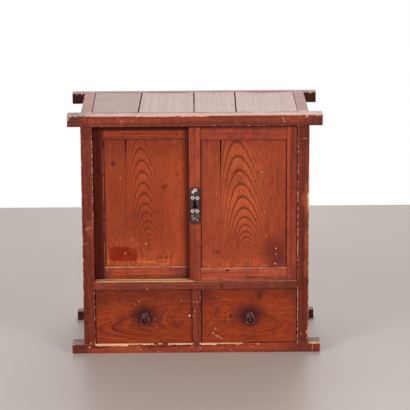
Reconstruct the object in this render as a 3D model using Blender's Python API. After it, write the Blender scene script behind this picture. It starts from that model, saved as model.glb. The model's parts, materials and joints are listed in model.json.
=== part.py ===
"""Merchant chest: a framed cabinet with two sliding doors over two drawers.

The long rails run past the posts at both ends. Posts, rails and sill are joined by mortise and tenon,
the panels float in grooves, the doors run in two tracks cut in the head and the sill, and each drawer
has a ring that hangs in the eye of a clenched staple.

Frame: metres, +X to the right of the chest, +Y to its back, +Z up. The origin is on the floor, under
the middle of the chest with its drawer pulls.
"""

import math
from typing import NamedTuple

import bmesh
import bpy
from mathutils import Matrix, Vector

# Case
HEIGHT = 0.826
DEPTH = 0.430  # over the long rails, front face to back face
BODY_WIDTH = 0.763  # over the posts
TOP_RAIL_LENGTH = 0.850
BASE_RAIL_LENGTH = 0.844
POST_WIDTH = 0.039
FRAME_DEPTH = 0.062  # of the front posts, front long rails and sill, front to back
REAR_FRAME_DEPTH = 0.039  # of the rear posts and rear long rails
TOP_RAIL_HEIGHT = 0.038
BASE_RAIL_HEIGHT = 0.033
END_RAIL_WIDTH = 0.0465
END_RAIL_LIFT = 0.006  # the lower end rails stay clear of the floor
SILL_TOP = 0.253
SILL_HEIGHT = 0.029
DIVIDER_WIDTH = 0.029
DIVIDER_DEPTH = 0.046
DIVIDER_SHIFT = 0.002  # to the right of the middle

# Boards and panels
TOP_BOARD_WIDTHS = (0.163, 0.180, 0.143)  # the fourth board takes what is left
TOP_BOARD_THICKNESS = 0.015
TOP_BOARD_GAP = 0.0012  # the shrinkage gap between two boards
BOARD_SEAT = 0.018  # how far the top and base boards lie on the front long rails
END_BOARD_SEAT = 0.010  # and on the end rails
BASE_BOARD_THICKNESS = 0.012
SIDE_PANEL_THICKNESS = 0.012
BACK_BOARD_THICKNESS = 0.010
BACK_BOARD_COUNT = 2
BACK_BOARD_INSET = 0.015  # from the back of the rear posts
BACK_GROOVE_WALL = 0.004  # of wood between the back boards' groove and the top and base boards
PANEL_BITE = 0.008  # how deep a panel stands in its groove
FLOOR_THICKNESS = 0.016
FLOOR_TONGUE = 0.010  # let into the back of the sill
FLOOR_TONGUE_INSET = 0.024  # from the posts
BEARER_HEIGHT = 0.025
GUIDE_HEIGHT = 0.030

# Tenons
POST_TENON = 0.024
POST_TENON_MARGIN = 0.009  # from the sides of the post
FRAME_TENON_SPAN = (0.014, 0.044)  # of front post and sill tenons, from the front of the frame
REAR_TENON_MARGIN = 0.008  # of a rear post tenon, from the back of the post
REAR_TENON_WALL = 0.003  # of wood between a rear post's tenon and the end rail's
END_TENON = 0.014
END_TENON_MARGIN = 0.010
SILL_TENON = 0.022
SILL_TENON_MARGIN = 0.007
DIVIDER_TENON = 0.012
DIVIDER_TENON_MARGIN = 0.007

# Sliding doors
DOOR_OVERLAP = 0.041  # of the two closed doors at their meeting stiles
DOOR_THICKNESS = 0.020
FRONT_DOOR_SETBACK = 0.010  # from the front of the frame to the face of the right door
DOOR_SPACING = 0.003  # between the two doors
OUTER_STILE = 0.035
MEETING_STILE = 0.0385
DOOR_TOP_RAIL = 0.048
DOOR_BOTTOM_RAIL = 0.0425
DOOR_TONGUE = 0.010
HEAD_GROOVE_DEPTH = 0.014
HEAD_TONGUE = 0.008  # how far the door reaches into the head
SILL_GROOVE_DEPTH = 0.004
TRACK_PLAY = 0.0005
DOOR_PLAY = 0.0008  # between a door's shoulders and the head or sill
JAMB_PLAY = 0.0005  # between a closed door and its post
DOOR_PANEL_THICKNESS = 0.007
DOOR_PANEL_SETBACK = 0.006
DOOR_PANEL_BITE = 0.008
NARROW_BOARD_WIDTHS = {"left": 0.0735, "right": 0.0657}  # of the panels' left boards, as seen
PANEL_SEAM = 0.0005
DOOR_TENON = 0.024
DOOR_TENON_THICKNESS = 0.006

# Drawers
DRAWER_SETBACK = 0.006
DRAWER_REAR_PLAY = 0.033  # behind a closed drawer
DRAWER_SIDE_PLAY = 0.0015
DRAWER_TOP_PLAY = 0.002
DRAWER_FRONT_THICKNESS = 0.018
DRAWER_SIDE_THICKNESS = 0.010
DRAWER_SIDE_DROP = 0.006  # the sides are lower than the front by this much
DRAWER_LAP = 0.011  # how far a side is let into the front
DRAWER_BOTTOM_THICKNESS = 0.006
DRAWER_BOTTOM_LIFT = 0.007
DRAWER_BOTTOM_BITE = 0.005
DRAWER_FINGERS = 5

# Ring pulls
PULL_RISE = 0.0023  # of the eye above the middle of the drawer front
PULL_SHIFT = 0.0045  # to the right of it
PULL_STANDOFF = 0.0078  # of the eye's centre from the drawer front
RING_RADIUS = 0.0145  # to the middle of the wire
RING_WIRE = 0.0022  # radius
STAPLE_WIRE = 0.0018  # radius
EYE_CLEARANCE = 0.0006
STAPLE_LEG_GAP = 0.0005
CLENCH_LENGTH = 0.011
ROSETTE_RADIUS = 0.0125
ROSETTE_THICKNESS = 0.0012
ROSETTE_CROWN = 0.0010

# Lock
LOCK_PLATE_WIDTH = 0.034
LOCK_PLATE_HEIGHT = 0.121
LOCK_PLATE_THICKNESS = 0.0016
LOCK_PLATE_CORNER = 0.012
LOCK_DROP = 0.0086  # of the plate's middle below the middle of the door
KEYHOLE_SLOT = (0.0064, 0.018)  # width and height
KEYHOLE_FOOT = (0.013, 0.0050)
LOCK_CASE_WIDTH = 0.022
LOCK_CASE_HEIGHT = 0.084
LOCK_CASE_WALL = 0.0015
LOCK_CASE_MARGIN = 0.005  # from the free edge of the stile
LOCK_FACE_WOOD = 0.006  # left in front of the case
BOLT_WIDTH = 0.012
BOLT_HEIGHT = 0.016
BOLT_LENGTH = 0.0095
BOLT_RISE = 0.026  # above the keyhole
BOLT_THROW = 0.008
STRIKE_PLAY = 0.0015  # past the end of the thrown bolt

# Fits and finish
FIT = 0.0003  # between faces that seat on each other
OVERRUN = 0.004  # of a cut past the surface that it opens
EASE = 0.0012  # chamfer along the arrises
PANEL_PLAY = 0.0004  # between a panel and its groove
EMPTY_SIZE = 0.05  # drawn size of the empties on the joints' axes

# Places that follow from the sizes
EYE_RADIUS = RING_WIRE + EYE_CLEARANCE + STAPLE_WIRE  # to the middle of the staple's wire
PULL_PROUD = PULL_STANDOFF + EYE_RADIUS + STAPLE_WIRE - DRAWER_SETBACK
Y_BACK = (DEPTH + PULL_PROUD) / 2
Y_FRONT = Y_BACK - DEPTH
Y_FRAME_IN = Y_FRONT + FRAME_DEPTH
Y_REAR_IN = Y_BACK - REAR_FRAME_DEPTH
X_OUT = BODY_WIDTH / 2
X_IN = X_OUT - POST_WIDTH
X_BOARDS = X_OUT - END_RAIL_WIDTH + END_BOARD_SEAT
X_PANEL = X_OUT - POST_WIDTH / 2
X_PANEL_IN = X_PANEL - SIDE_PANEL_THICKNESS / 2
Z_BASE = BASE_RAIL_HEIGHT
Z_HEAD = HEIGHT - TOP_RAIL_HEIGHT
Z_SILL_UNDER = SILL_TOP - SILL_HEIGHT
Y_BACK_BOARD = Y_BACK - BACK_BOARD_INSET - BACK_BOARD_THICKNESS
DOOR_WIDTH = X_IN - JAMB_PLAY + DOOR_OVERLAP / 2
SIDES = (("left", -1), ("right", 1))


class Box(NamedTuple):
    """A box in the frame of the chest: a (low, high) span along each axis."""

    x: tuple
    y: tuple
    z: tuple

    def grown(self, by):
        return Box(*((low - by, high + by) for low, high in self))

    def centre(self):
        return Vector([(low + high) / 2 for low, high in self])

    def size(self):
        return Vector([high - low for low, high in self])


def span(a, b):
    """The span between two values, in order."""
    return (min(a, b), max(a, b))


def about(middle, width):
    """The span of this width about a middle."""
    return (middle - width / 2, middle + width / 2)


def inside(limits, margin):
    """A span with the same margin taken off at both ends."""
    return (limits[0] + margin, limits[1] - margin)


def clear_scene():
    for old in list(bpy.data.objects):
        bpy.data.objects.remove(old, do_unlink=True)


def finish(name, colour, roughness, metallic=0.0):
    """A plain Principled material."""
    material = bpy.data.materials.new(name)
    material.use_nodes = True
    shader = material.node_tree.nodes["Principled BSDF"]
    shader.inputs["Base Color"].default_value = (*colour, 1.0)
    shader.inputs["Roughness"].default_value = roughness
    shader.inputs["Metallic"].default_value = metallic
    material.diffuse_color = (*colour, 1.0)
    return material


class Body(NamedTuple):
    """A moving body: the empty that carries its pieces, and where that empty stands in the chest."""

    empty: bpy.types.Object
    at: Vector


def place(obj, centre, body):
    """Links an object at a point of the chest, under the empty of its moving body if it has one."""
    bpy.context.scene.collection.objects.link(obj)
    obj.location = centre
    if body is not None:
        obj.parent = body.empty
        obj.location = centre - body.at
    return obj


def moving_body(name, at, carrier=None):
    """A body whose empty lies on its joint's axis, on the body that carries it if there is one."""
    empty = bpy.data.objects.new(name, None)
    empty.empty_display_size = EMPTY_SIZE
    return Body(place(empty, at, carrier), at)


def object_from(bm, name, material, centre, body, smooth=False):
    mesh = bpy.data.meshes.new(name)
    bm.normal_update()
    bm.to_mesh(mesh)
    bm.free()
    mesh.materials.append(material)
    if smooth:
        mesh.shade_smooth()
        mesh.set_sharp_from_angle(angle=math.radians(40))
    return place(bpy.data.objects.new(name, mesh), centre, body)


def box_mesh(size):
    bm = bmesh.new()
    bmesh.ops.create_cube(bm, size=1.0)
    bmesh.ops.scale(bm, vec=size, verts=bm.verts)
    return bm


def ease_edges(bm, axes, width, segments=1):
    """Bevels the edges that run along the given axes."""
    along = [
        edge
        for edge in bm.edges
        if "XYZ"[max(range(3), key=lambda i: abs((edge.verts[1].co - edge.verts[0].co)[i]))] in axes
    ]
    bmesh.ops.bevel(
        bm,
        geom=along,
        offset=width,
        offset_type="OFFSET",
        segments=segments,
        profile=0.5,
        affect="EDGES",
        material=-1,
        clamp_overlap=True,
    )


def cut_box(obj, centre, box):
    """Takes a box out of an object that stands at this centre. The cutter rides on the object."""
    name = f"{obj.name}_cut"
    cutter = object_from(box_mesh(box.size()), name, obj.data.materials[0], box.centre(), None)
    cutter.parent = obj
    cutter.matrix_parent_inverse = Matrix.Translation(-centre)
    cutter.hide_render = True
    cutter.display_type = "WIRE"
    modifier = obj.modifiers.new(name, "BOOLEAN")
    modifier.operation = "DIFFERENCE"
    modifier.solver = "EXACT"
    modifier.object = cutter


class Piece:
    """One squared piece of the chest, which tenons, mortises, grooves and rebates are then worked on."""

    def __init__(self, name, box, material, body=None, eased="X", ease=EASE, segments=1):
        self.box = box
        self.centre = box.centre()
        bm = box_mesh(box.size())
        if eased:
            ease_edges(bm, eased, ease, segments)
        self.obj = object_from(bm, name, material, self.centre, body)

    def cut(self, box):
        """Takes a box out of the piece."""
        cut_box(self.obj, self.centre, box)

    def house(self, guest, play=FIT):
        """Cuts the seat of another piece's box, with play all round."""
        self.cut(guest.grown(play))

    def grow(self, end, section, length):
        """Grows a tenon or tongue of this section out of an end such as "+X", and returns its box."""
        axis = "XYZ".index(end[1])
        outward = 1 if end[0] == "+" else -1
        shoulder = self.box[axis][1 if outward > 0 else 0]
        tip = shoulder + outward * length
        bm = bmesh.new()
        bm.from_mesh(self.obj.data)
        bm.faces.ensure_lookup_table()
        face = max(bm.faces, key=lambda f: outward * f.calc_center_median()[axis])
        for level in (shoulder, tip):
            grown = bmesh.ops.extrude_face_region(bm, geom=[face])
            bmesh.ops.delete(bm, geom=[face], context="FACES_ONLY")
            face = next(item for item in grown["geom"] if isinstance(item, bmesh.types.BMFace))
            for vert in face.verts:
                for i in range(3):
                    if i == axis:
                        vert.co[i] = level - self.centre[i]
                    else:
                        side = section[i][1 if vert.co[i] > face.calc_center_median()[i] else 0]
                        vert.co[i] = side - self.centre[i]
        bm.to_mesh(self.obj.data)
        bm.free()
        spans = list(section)
        spans[axis] = span(shoulder, tip)
        return Box(*spans)

    def tenon(self, end, host, section, length):
        """Tenons an end of this piece into its host."""
        tongue = self.grow(end, section, length)
        axis = "XYZ".index(end[1])
        seat = list(tongue.grown(FIT))
        low, high = seat[axis]
        seat[axis] = (low - OVERRUN, high) if end[0] == "+" else (low, high + OVERRUN)
        host.cut(Box(*seat))


def build_frame(wood):
    """Posts, rails, sill and drawer divider, joined by mortise and tenon."""
    front, rear = (Y_FRONT, Y_FRAME_IN), (Y_REAR_IN, Y_BACK)
    pieces = {}
    for where, depth in (("front", front), ("rear", rear)):
        pieces[f"{where}_top_rail"] = Piece(
            f"{where}_top_rail", Box(about(0, TOP_RAIL_LENGTH), depth, (Z_HEAD, HEIGHT)), wood, eased="XYZ"
        )
        pieces[f"{where}_base_rail"] = Piece(
            f"{where}_base_rail", Box(about(0, BASE_RAIL_LENGTH), depth, (0, Z_BASE)), wood, eased="XYZ"
        )
    for side, sign in SIDES:
        width = span(sign * X_OUT, sign * X_IN)
        for where, depth in (("front", front), ("rear", rear)):
            name = f"{where}_{side}_post"
            post = Piece(name, Box(width, depth, inside((Z_BASE, Z_HEAD), FIT)), wood, eased="Z")
            pieces[name] = post
            near = tuple(Y_FRONT + d for d in FRAME_TENON_SPAN)
            far = (Y_REAR_IN + END_TENON + REAR_TENON_WALL, Y_BACK - REAR_TENON_MARGIN)
            section = Box(inside(width, POST_TENON_MARGIN), near if where == "front" else far, None)
            post.tenon("+Z", pieces[f"{where}_top_rail"], section, POST_TENON)
            post.tenon("-Z", pieces[f"{where}_base_rail"], section, POST_TENON)
        rail_width = span(sign * X_OUT, sign * (X_OUT - END_RAIL_WIDTH))
        between = inside((Y_FRAME_IN, Y_REAR_IN), FIT)
        for level, height in (("top", (Z_HEAD, HEIGHT)), ("base", (END_RAIL_LIFT, Z_BASE))):
            name = f"{side}_{level}_end_rail"
            rail = Piece(name, Box(rail_width, between, height), wood, eased="Y")
            pieces[name] = rail
            tenon_width = inside(span(sign * X_OUT, sign * X_BOARDS), END_TENON_MARGIN)
            section = Box(tenon_width, None, inside(height, END_TENON_MARGIN))
            rail.tenon("-Y", pieces[f"front_{level}_rail"], section, END_TENON)
            rail.tenon("+Y", pieces[f"rear_{level}_rail"], section, END_TENON)

    sill = Piece("door_sill", Box(inside((-X_IN, X_IN), FIT), front, (Z_SILL_UNDER, SILL_TOP)), wood)
    tenon_depth = tuple(Y_FRONT + d for d in FRAME_TENON_SPAN)
    section = Box(None, tenon_depth, inside((Z_SILL_UNDER, SILL_TOP), SILL_TENON_MARGIN))
    sill.tenon("-X", pieces["front_left_post"], section, SILL_TENON)
    sill.tenon("+X", pieces["front_right_post"], section, SILL_TENON)
    pieces["door_sill"] = sill

    divider_box = Box(
        about(DIVIDER_SHIFT, DIVIDER_WIDTH),
        (Y_FRONT, Y_FRONT + DIVIDER_DEPTH),
        inside((Z_BASE, Z_SILL_UNDER), FIT),
    )
    divider = Piece("drawer_divider", divider_box, wood, eased="Z")
    depth = inside(divider_box.y, DIVIDER_TENON_MARGIN)
    section = Box(inside(divider_box.x, DIVIDER_TENON_MARGIN), depth, None)
    divider.tenon("+Z", sill, section, DIVIDER_TENON)
    divider.tenon("-Z", pieces["front_base_rail"], section, DIVIDER_TENON)
    pieces["drawer_divider"] = divider
    return pieces


def build_boards(frame, top_wood, raw_wood):
    """Top boards, base board, side panels and back boards, each let into the frame."""
    seat_y = (Y_FRAME_IN - BOARD_SEAT, Y_BACK_BOARD - BACK_GROOVE_WALL)
    top = Box(inside((-X_BOARDS, X_BOARDS), FIT), inside(seat_y, FIT), (HEIGHT - TOP_BOARD_THICKNESS, HEIGHT))
    base = Box(top.x, top.y, (Z_BASE - BASE_BOARD_THICKNESS, Z_BASE))
    for level, field in (("top", top), ("base", base)):
        seat = field.grown(FIT)._replace(z=(field.z[0] - FIT, field.z[1] + OVERRUN))
        for rail in ("front_{}_rail", "rear_{}_rail", "left_{}_end_rail", "right_{}_end_rail"):
            frame[rail.format(level)].cut(seat)

    edges = [top.x[0]]
    for width in TOP_BOARD_WIDTHS:
        edges.append(edges[-1] + width)
    edges.append(top.x[1])
    for number, (low, high) in enumerate(zip(edges, edges[1:]), start=1):
        low += TOP_BOARD_GAP / 2 if number > 1 else 0
        high -= TOP_BOARD_GAP / 2 if number <= len(TOP_BOARD_WIDTHS) else 0
        Piece(f"top_board_{number}", Box((low, high), top.y, top.z), top_wood, eased="Y", ease=EASE / 2)
    Piece("base_board", base, raw_wood, eased=None)

    for side, sign in SIDES:
        panel = Box(
            about(sign * X_PANEL, SIDE_PANEL_THICKNESS),
            (Y_FRAME_IN - PANEL_BITE, Y_REAR_IN + PANEL_BITE),
            (Z_BASE - PANEL_BITE, Z_HEAD + PANEL_BITE),
        )
        board = Piece(f"{side}_side_panel", panel, top_wood, eased=None)
        for y in (span(Y_FRONT, Y_FRAME_IN + FIT), span(Y_REAR_IN - FIT, Y_BACK)):
            for z in (span(0, Z_BASE + FIT), span(Z_HEAD - FIT, HEIGHT)):
                board.cut(Box((panel.x[0] - OVERRUN, panel.x[1] + OVERRUN), y, z))
        for host in ("front_{}_post", "rear_{}_post", "{}_top_end_rail", "{}_base_end_rail"):
            frame[host.format(side)].house(panel, PANEL_PLAY)

    back = Box(
        (-X_IN - PANEL_BITE, X_IN + PANEL_BITE),
        (Y_BACK_BOARD, Y_BACK_BOARD + BACK_BOARD_THICKNESS),
        (Z_BASE - PANEL_BITE, Z_HEAD + PANEL_BITE),
    )
    for host in ("rear_left_post", "rear_right_post", "rear_top_rail", "rear_base_rail"):
        frame[host].house(back, PANEL_PLAY)
    width = (back.x[1] - back.x[0]) / BACK_BOARD_COUNT
    for number in range(BACK_BOARD_COUNT):
        left = back.x[0] + number * width
        board = back._replace(x=inside((left, left + width), PANEL_SEAM / 2))
        Piece(f"back_board_{number + 1}", board, raw_wood, eased="Z", ease=EASE / 2)


def build_inside(frame, raw_wood):
    """The cupboard floor with its bearers, and the guides that the drawers run between."""
    y_wall = Y_BACK_BOARD - FIT
    floor_box = Box(
        inside((-X_PANEL_IN, X_PANEL_IN), FIT),
        (Y_FRAME_IN + FIT, y_wall),
        (Z_SILL_UNDER + FIT, Z_SILL_UNDER + FIT + FLOOR_THICKNESS),
    )
    floor = Piece("cupboard_floor", floor_box, raw_wood, eased=None)
    tongue = Box(inside((-X_IN, X_IN), FLOOR_TONGUE_INSET), None, inside(floor_box.z, FLOOR_THICKNESS / 4))
    floor.tenon("-Y", frame["door_sill"], tongue, FLOOR_TONGUE)
    for side, sign in SIDES:
        past_faces = (floor_box.z[0] - OVERRUN, floor_box.z[1] + OVERRUN)
        floor.cut(Box(span(sign * (X_IN - FIT), sign * X_OUT), (Y_REAR_IN - FIT, Y_BACK), past_faces))

        strip = span(sign * (X_PANEL_IN - FIT), sign * (X_IN + FIT))
        run = inside((Y_FRAME_IN, Y_REAR_IN), FIT)
        bearer = (Z_SILL_UNDER - BEARER_HEIGHT, Z_SILL_UNDER)
        Piece(f"{side}_floor_bearer", Box(strip, run, bearer), raw_wood, eased="Y")
        guide = (Z_BASE + FIT, Z_BASE + FIT + GUIDE_HEIGHT)
        Piece(f"{side}_drawer_guide", Box(strip, run, guide), raw_wood, eased="Y")

    behind = (Y_FRONT + DIVIDER_DEPTH + FIT, y_wall)
    middle = Box(about(DIVIDER_SHIFT, DIVIDER_WIDTH), behind, guide)
    Piece("centre_drawer_guide", middle, raw_wood, eased="Y")


def cut_tracks(frame, door_faces):
    """The two grooves in the head and in the sill that the doors' tongues run in."""
    run = inside((-X_IN, X_IN), FIT)
    for face in door_faces:
        groove = about(face + DOOR_THICKNESS / 2, DOOR_TONGUE + 2 * TRACK_PLAY)
        head = Box(run, groove, (Z_HEAD - OVERRUN, Z_HEAD + HEAD_GROOVE_DEPTH))
        frame["front_top_rail"].cut(head)
        past_ends = (-X_IN - OVERRUN, X_IN + OVERRUN)
        sill = Box(past_ends, groove, (SILL_TOP - SILL_GROOVE_DEPTH, SILL_TOP + OVERRUN))
        frame["door_sill"].cut(sill)


def build_door(side, face, frame_wood, panel_wood):
    """One sliding door: two stiles, two rails and a panel of a narrow and a wide board."""
    if side == "left":
        low = -X_IN + JAMB_PLAY
        widths = (OUTER_STILE, MEETING_STILE)
    else:
        low = X_IN - JAMB_PLAY - DOOR_WIDTH
        widths = (MEETING_STILE, OUTER_STILE)
    high = low + DOOR_WIDTH
    depth = (face, face + DOOR_THICKNESS)
    shoulders = inside((SILL_TOP, Z_HEAD), DOOR_PLAY)
    whole = (SILL_TOP - SILL_GROOVE_DEPTH + FIT, Z_HEAD + HEAD_TONGUE)
    cheek = (DOOR_THICKNESS - DOOR_TONGUE) / 2
    body = moving_body(f"{side}_door_slide", Vector((low, face, SILL_TOP)))

    def work_tongues(piece, at_top, at_foot):
        """Rebates a piece front and back, to leave the tongues that run in the tracks."""
        past_x = (piece.box.x[0] - OVERRUN - DOOR_TENON, piece.box.x[1] + OVERRUN + DOOR_TENON)
        for skin in ((face - OVERRUN, face + cheek), (depth[1] - cheek, depth[1] + OVERRUN)):
            if at_top:
                piece.cut(Box(past_x, skin, (shoulders[1], whole[1] + OVERRUN)))
            if at_foot:
                piece.cut(Box(past_x, skin, (whole[0] - OVERRUN, shoulders[0])))

    inner = (low + widths[0], high - widths[1])
    left_box = Box((low, inner[0]), depth, whole)
    right_box = Box((inner[1], high), depth, whole)
    left_stile = Piece(f"{side}_door_left_stile", left_box, frame_wood, body, eased="Z")
    right_stile = Piece(f"{side}_door_right_stile", right_box, frame_wood, body, eased="Z")
    rail_x = inside(inner, FIT)
    head_z = (shoulders[1] - DOOR_TOP_RAIL, whole[1])
    foot_z = (whole[0], shoulders[0] + DOOR_BOTTOM_RAIL)
    top_rail = Piece(f"{side}_door_top_rail", Box(rail_x, depth, head_z), frame_wood, body)
    foot_rail = Piece(f"{side}_door_bottom_rail", Box(rail_x, depth, foot_z), frame_wood, body)

    panel_y = (face + DOOR_PANEL_SETBACK, face + DOOR_PANEL_SETBACK + DOOR_PANEL_THICKNESS)
    panel = Box(
        (inner[0] - DOOR_PANEL_BITE, inner[1] + DOOR_PANEL_BITE),
        panel_y,
        (foot_z[1] - DOOR_PANEL_BITE, head_z[0] + DOOR_PANEL_BITE),
    )
    tenon_y = about(face + DOOR_THICKNESS / 2, DOOR_TENON_THICKNESS)
    clear = 2 * DOOR_PANEL_BITE
    for rail, tenon_z in (
        (top_rail, (head_z[0] + clear, shoulders[1] - DOOR_PANEL_BITE / 2)),
        (foot_rail, (shoulders[0] + DOOR_PANEL_BITE / 2, foot_z[1] - clear)),
    ):
        section = Box(None, tenon_y, tenon_z)
        rail.tenon("-X", left_stile, section, DOOR_TENON)
        rail.tenon("+X", right_stile, section, DOOR_TENON)
    for piece in (left_stile, right_stile, top_rail, foot_rail):
        piece.house(panel, PANEL_PLAY)
        work_tongues(piece, piece is not foot_rail, piece is not top_rail)

    seam = inner[0] + NARROW_BOARD_WIDTHS[side]
    narrow = panel._replace(x=(panel.x[0], seam - PANEL_SEAM / 2))
    wide = panel._replace(x=(seam + PANEL_SEAM / 2, panel.x[1]))
    Piece(f"{side}_door_narrow_board", narrow, panel_wood, body, eased=None)
    Piece(f"{side}_door_wide_board", wide, panel_wood, body, eased=None)
    return {"body": body, "left_stile": left_stile, "right_stile": right_stile}


def build_lock(doors, face, rear_face, iron):
    """Lock plate, lock case and bolt in the meeting stile of the front door, and the strike behind it."""
    stile = doors["right"]["left_stile"]
    body = doors["right"]["body"]
    middle = stile.box.centre()
    z = middle.z - LOCK_DROP
    plate_box = Box(
        about(middle.x, LOCK_PLATE_WIDTH),
        (face - FIT - LOCK_PLATE_THICKNESS, face - FIT),
        about(z, LOCK_PLATE_HEIGHT),
    )
    plate = Piece("lock_plate", plate_box, iron, body, eased="Y", ease=LOCK_PLATE_CORNER, segments=6)
    slot_z = about(z, KEYHOLE_SLOT[1])
    through = (plate_box.y[0] - OVERRUN, face + LOCK_FACE_WOOD + OVERRUN)
    slot = Box(about(middle.x, KEYHOLE_SLOT[0]), through, slot_z)
    foot = Box(about(middle.x, KEYHOLE_FOOT[0]), through, (slot_z[0] - FIT, slot_z[0] + KEYHOLE_FOOT[1]))
    plate.cut(slot)
    plate.cut(foot)

    case_x = stile.box.x[0] + LOCK_CASE_MARGIN
    case_box = Box(
        (case_x, case_x + LOCK_CASE_WIDTH),
        (face + LOCK_FACE_WOOD + FIT, face + DOOR_THICKNESS - FIT),
        about(z, LOCK_CASE_HEIGHT),
    )
    stile.cut(case_box.grown(FIT)._replace(y=(case_box.y[0] - FIT, case_box.y[1] + OVERRUN)))
    keyway = Box(about(middle.x, KEYHOLE_FOOT[0]), (face - OVERRUN, case_box.y[0] + OVERRUN), slot_z)
    stile.cut(keyway)
    case = Piece("lock_case", case_box, iron, body, eased=None)
    hollow = case_box.grown(-LOCK_CASE_WALL)
    case.cut(hollow)
    case.cut(slot._replace(y=(case_box.y[0] - OVERRUN, hollow.y[0] + OVERRUN)))

    bolt_box = Box(
        about(case_box.centre().x, BOLT_WIDTH),
        (case_box.y[1] - BOLT_LENGTH, case_box.y[1]),
        about(z + BOLT_RISE, BOLT_HEIGHT),
    )
    case.cut(bolt_box.grown(FIT)._replace(y=(hollow.y[1] - OVERRUN, case_box.y[1] + OVERRUN)))
    bolt_body = moving_body("lock_bolt_slide", bolt_box.centre(), body)
    Piece("lock_bolt", bolt_box, iron, bolt_body, eased="Y", ease=EASE / 2)
    strike_end = bolt_box.y[1] + BOLT_THROW + STRIKE_PLAY
    strike = bolt_box.grown(2 * FIT)._replace(y=(rear_face - OVERRUN, strike_end))
    doors["left"]["right_stile"].cut(strike)


def build_drawer(side, sign, front_wood, raw_wood):
    """One drawer: front, two sides, back and bottom. Returns its body, its front and the pull's pivot."""
    opening = span(sign * X_IN, DIVIDER_SHIFT + sign * DIVIDER_WIDTH / 2)
    width = inside(opening, DRAWER_SIDE_PLAY)
    face = Y_FRONT + DRAWER_SETBACK
    rear = Y_BACK_BOARD - DRAWER_REAR_PLAY
    front_z = (Z_BASE + FIT, Z_SILL_UNDER - DRAWER_TOP_PLAY)
    side_z = (front_z[0], front_z[1] - DRAWER_SIDE_DROP)
    middle = sum(width) / 2
    body = moving_body(f"{side}_drawer_slide", Vector((middle, face, front_z[0])))

    front_box = Box(width, (face, face + DRAWER_FRONT_THICKNESS), front_z)
    front = Piece(f"{side}_drawer_front", front_box, front_wood, body, eased="XYZ")
    side_y = (front_box.y[1] - DRAWER_LAP, rear)
    walls = []
    for hand, outer in (("left", width[0]), ("right", width[1])):
        inward = 1 if hand == "left" else -1
        wall_x = span(outer, outer + inward * DRAWER_SIDE_THICKNESS)
        wall = Piece(f"{side}_drawer_{hand}_side", Box(wall_x, side_y, side_z), raw_wood, body, eased=None)
        lap = wall.box.grown(FIT)
        past_end = (lap.x[0] - OVERRUN, lap.x[1]) if inward > 0 else (lap.x[0], lap.x[1] + OVERRUN)
        front.cut(lap._replace(x=past_end))
        walls.append(wall)
    back_box = Box(width, (rear - DRAWER_SIDE_THICKNESS, rear), side_z)
    back = Piece(f"{side}_drawer_back", back_box, raw_wood, body, eased=None)

    pitch = (side_z[1] - side_z[0]) / DRAWER_FINGERS
    for number in range(DRAWER_FINGERS):
        low = side_z[0] + number * pitch
        top_of_stack = number == DRAWER_FINGERS - 1
        band = (low - (OVERRUN if number == 0 else FIT), low + pitch + (OVERRUN if top_of_stack else FIT))
        for wall in walls:
            corner = Box(wall.box.x, back_box.y, band).grown(FIT)._replace(z=band)
            past_x = (corner.x[0] - OVERRUN, corner.x[1] + OVERRUN)
            if number % 2 == 0:
                outer_low = wall.box.x[0] <= width[0]
                edge = (past_x[0], corner.x[1]) if outer_low else (corner.x[0], past_x[1])
                back.cut(Box(edge, (corner.y[0] - OVERRUN, corner.y[1] + OVERRUN), band))
            else:
                wall.cut(Box(past_x, (corner.y[0], corner.y[1] + OVERRUN), band))

    inner_x = (walls[0].box.x[1], walls[1].box.x[0])
    bottom_box = Box(
        (inner_x[0] - DRAWER_BOTTOM_BITE, inner_x[1] + DRAWER_BOTTOM_BITE),
        (front_box.y[1] - DRAWER_BOTTOM_BITE, back_box.y[0] + DRAWER_BOTTOM_BITE),
        (side_z[0] + DRAWER_BOTTOM_LIFT, side_z[0] + DRAWER_BOTTOM_LIFT + DRAWER_BOTTOM_THICKNESS),
    )
    Piece(f"{side}_drawer_bottom", bottom_box, raw_wood, body, eased=None)
    for host in (front, back, *walls):
        host.house(bottom_box, PANEL_PLAY)
    pivot = Vector((middle + PULL_SHIFT, face - PULL_STANDOFF, sum(front_z) / 2 + PULL_RISE))
    return body, front, pivot


def staple_path():
    """The staple's wire in its own YZ plane: clenched end, leg, eye, leg, clenched end."""
    leg = STAPLE_WIRE + STAPLE_LEG_GAP / 2
    open_angle = math.asin(leg / EYE_RADIUS)
    steps = 16
    eye = []
    for step in range(steps + 1):
        angle = open_angle + (2 * math.pi - 2 * open_angle) * step / steps
        eye.append((math.cos(angle) * EYE_RADIUS, math.sin(angle) * EYE_RADIUS))
    clench_y = PULL_STANDOFF + DRAWER_FRONT_THICKNESS + STAPLE_WIRE + FIT
    bend = 0.75 * STAPLE_WIRE
    upper = [(clench_y, leg + CLENCH_LENGTH), (clench_y, leg + bend), (clench_y - bend, leg)]
    lower = [(y, -z) for y, z in reversed(upper)]
    return upper + eye + lower


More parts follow.
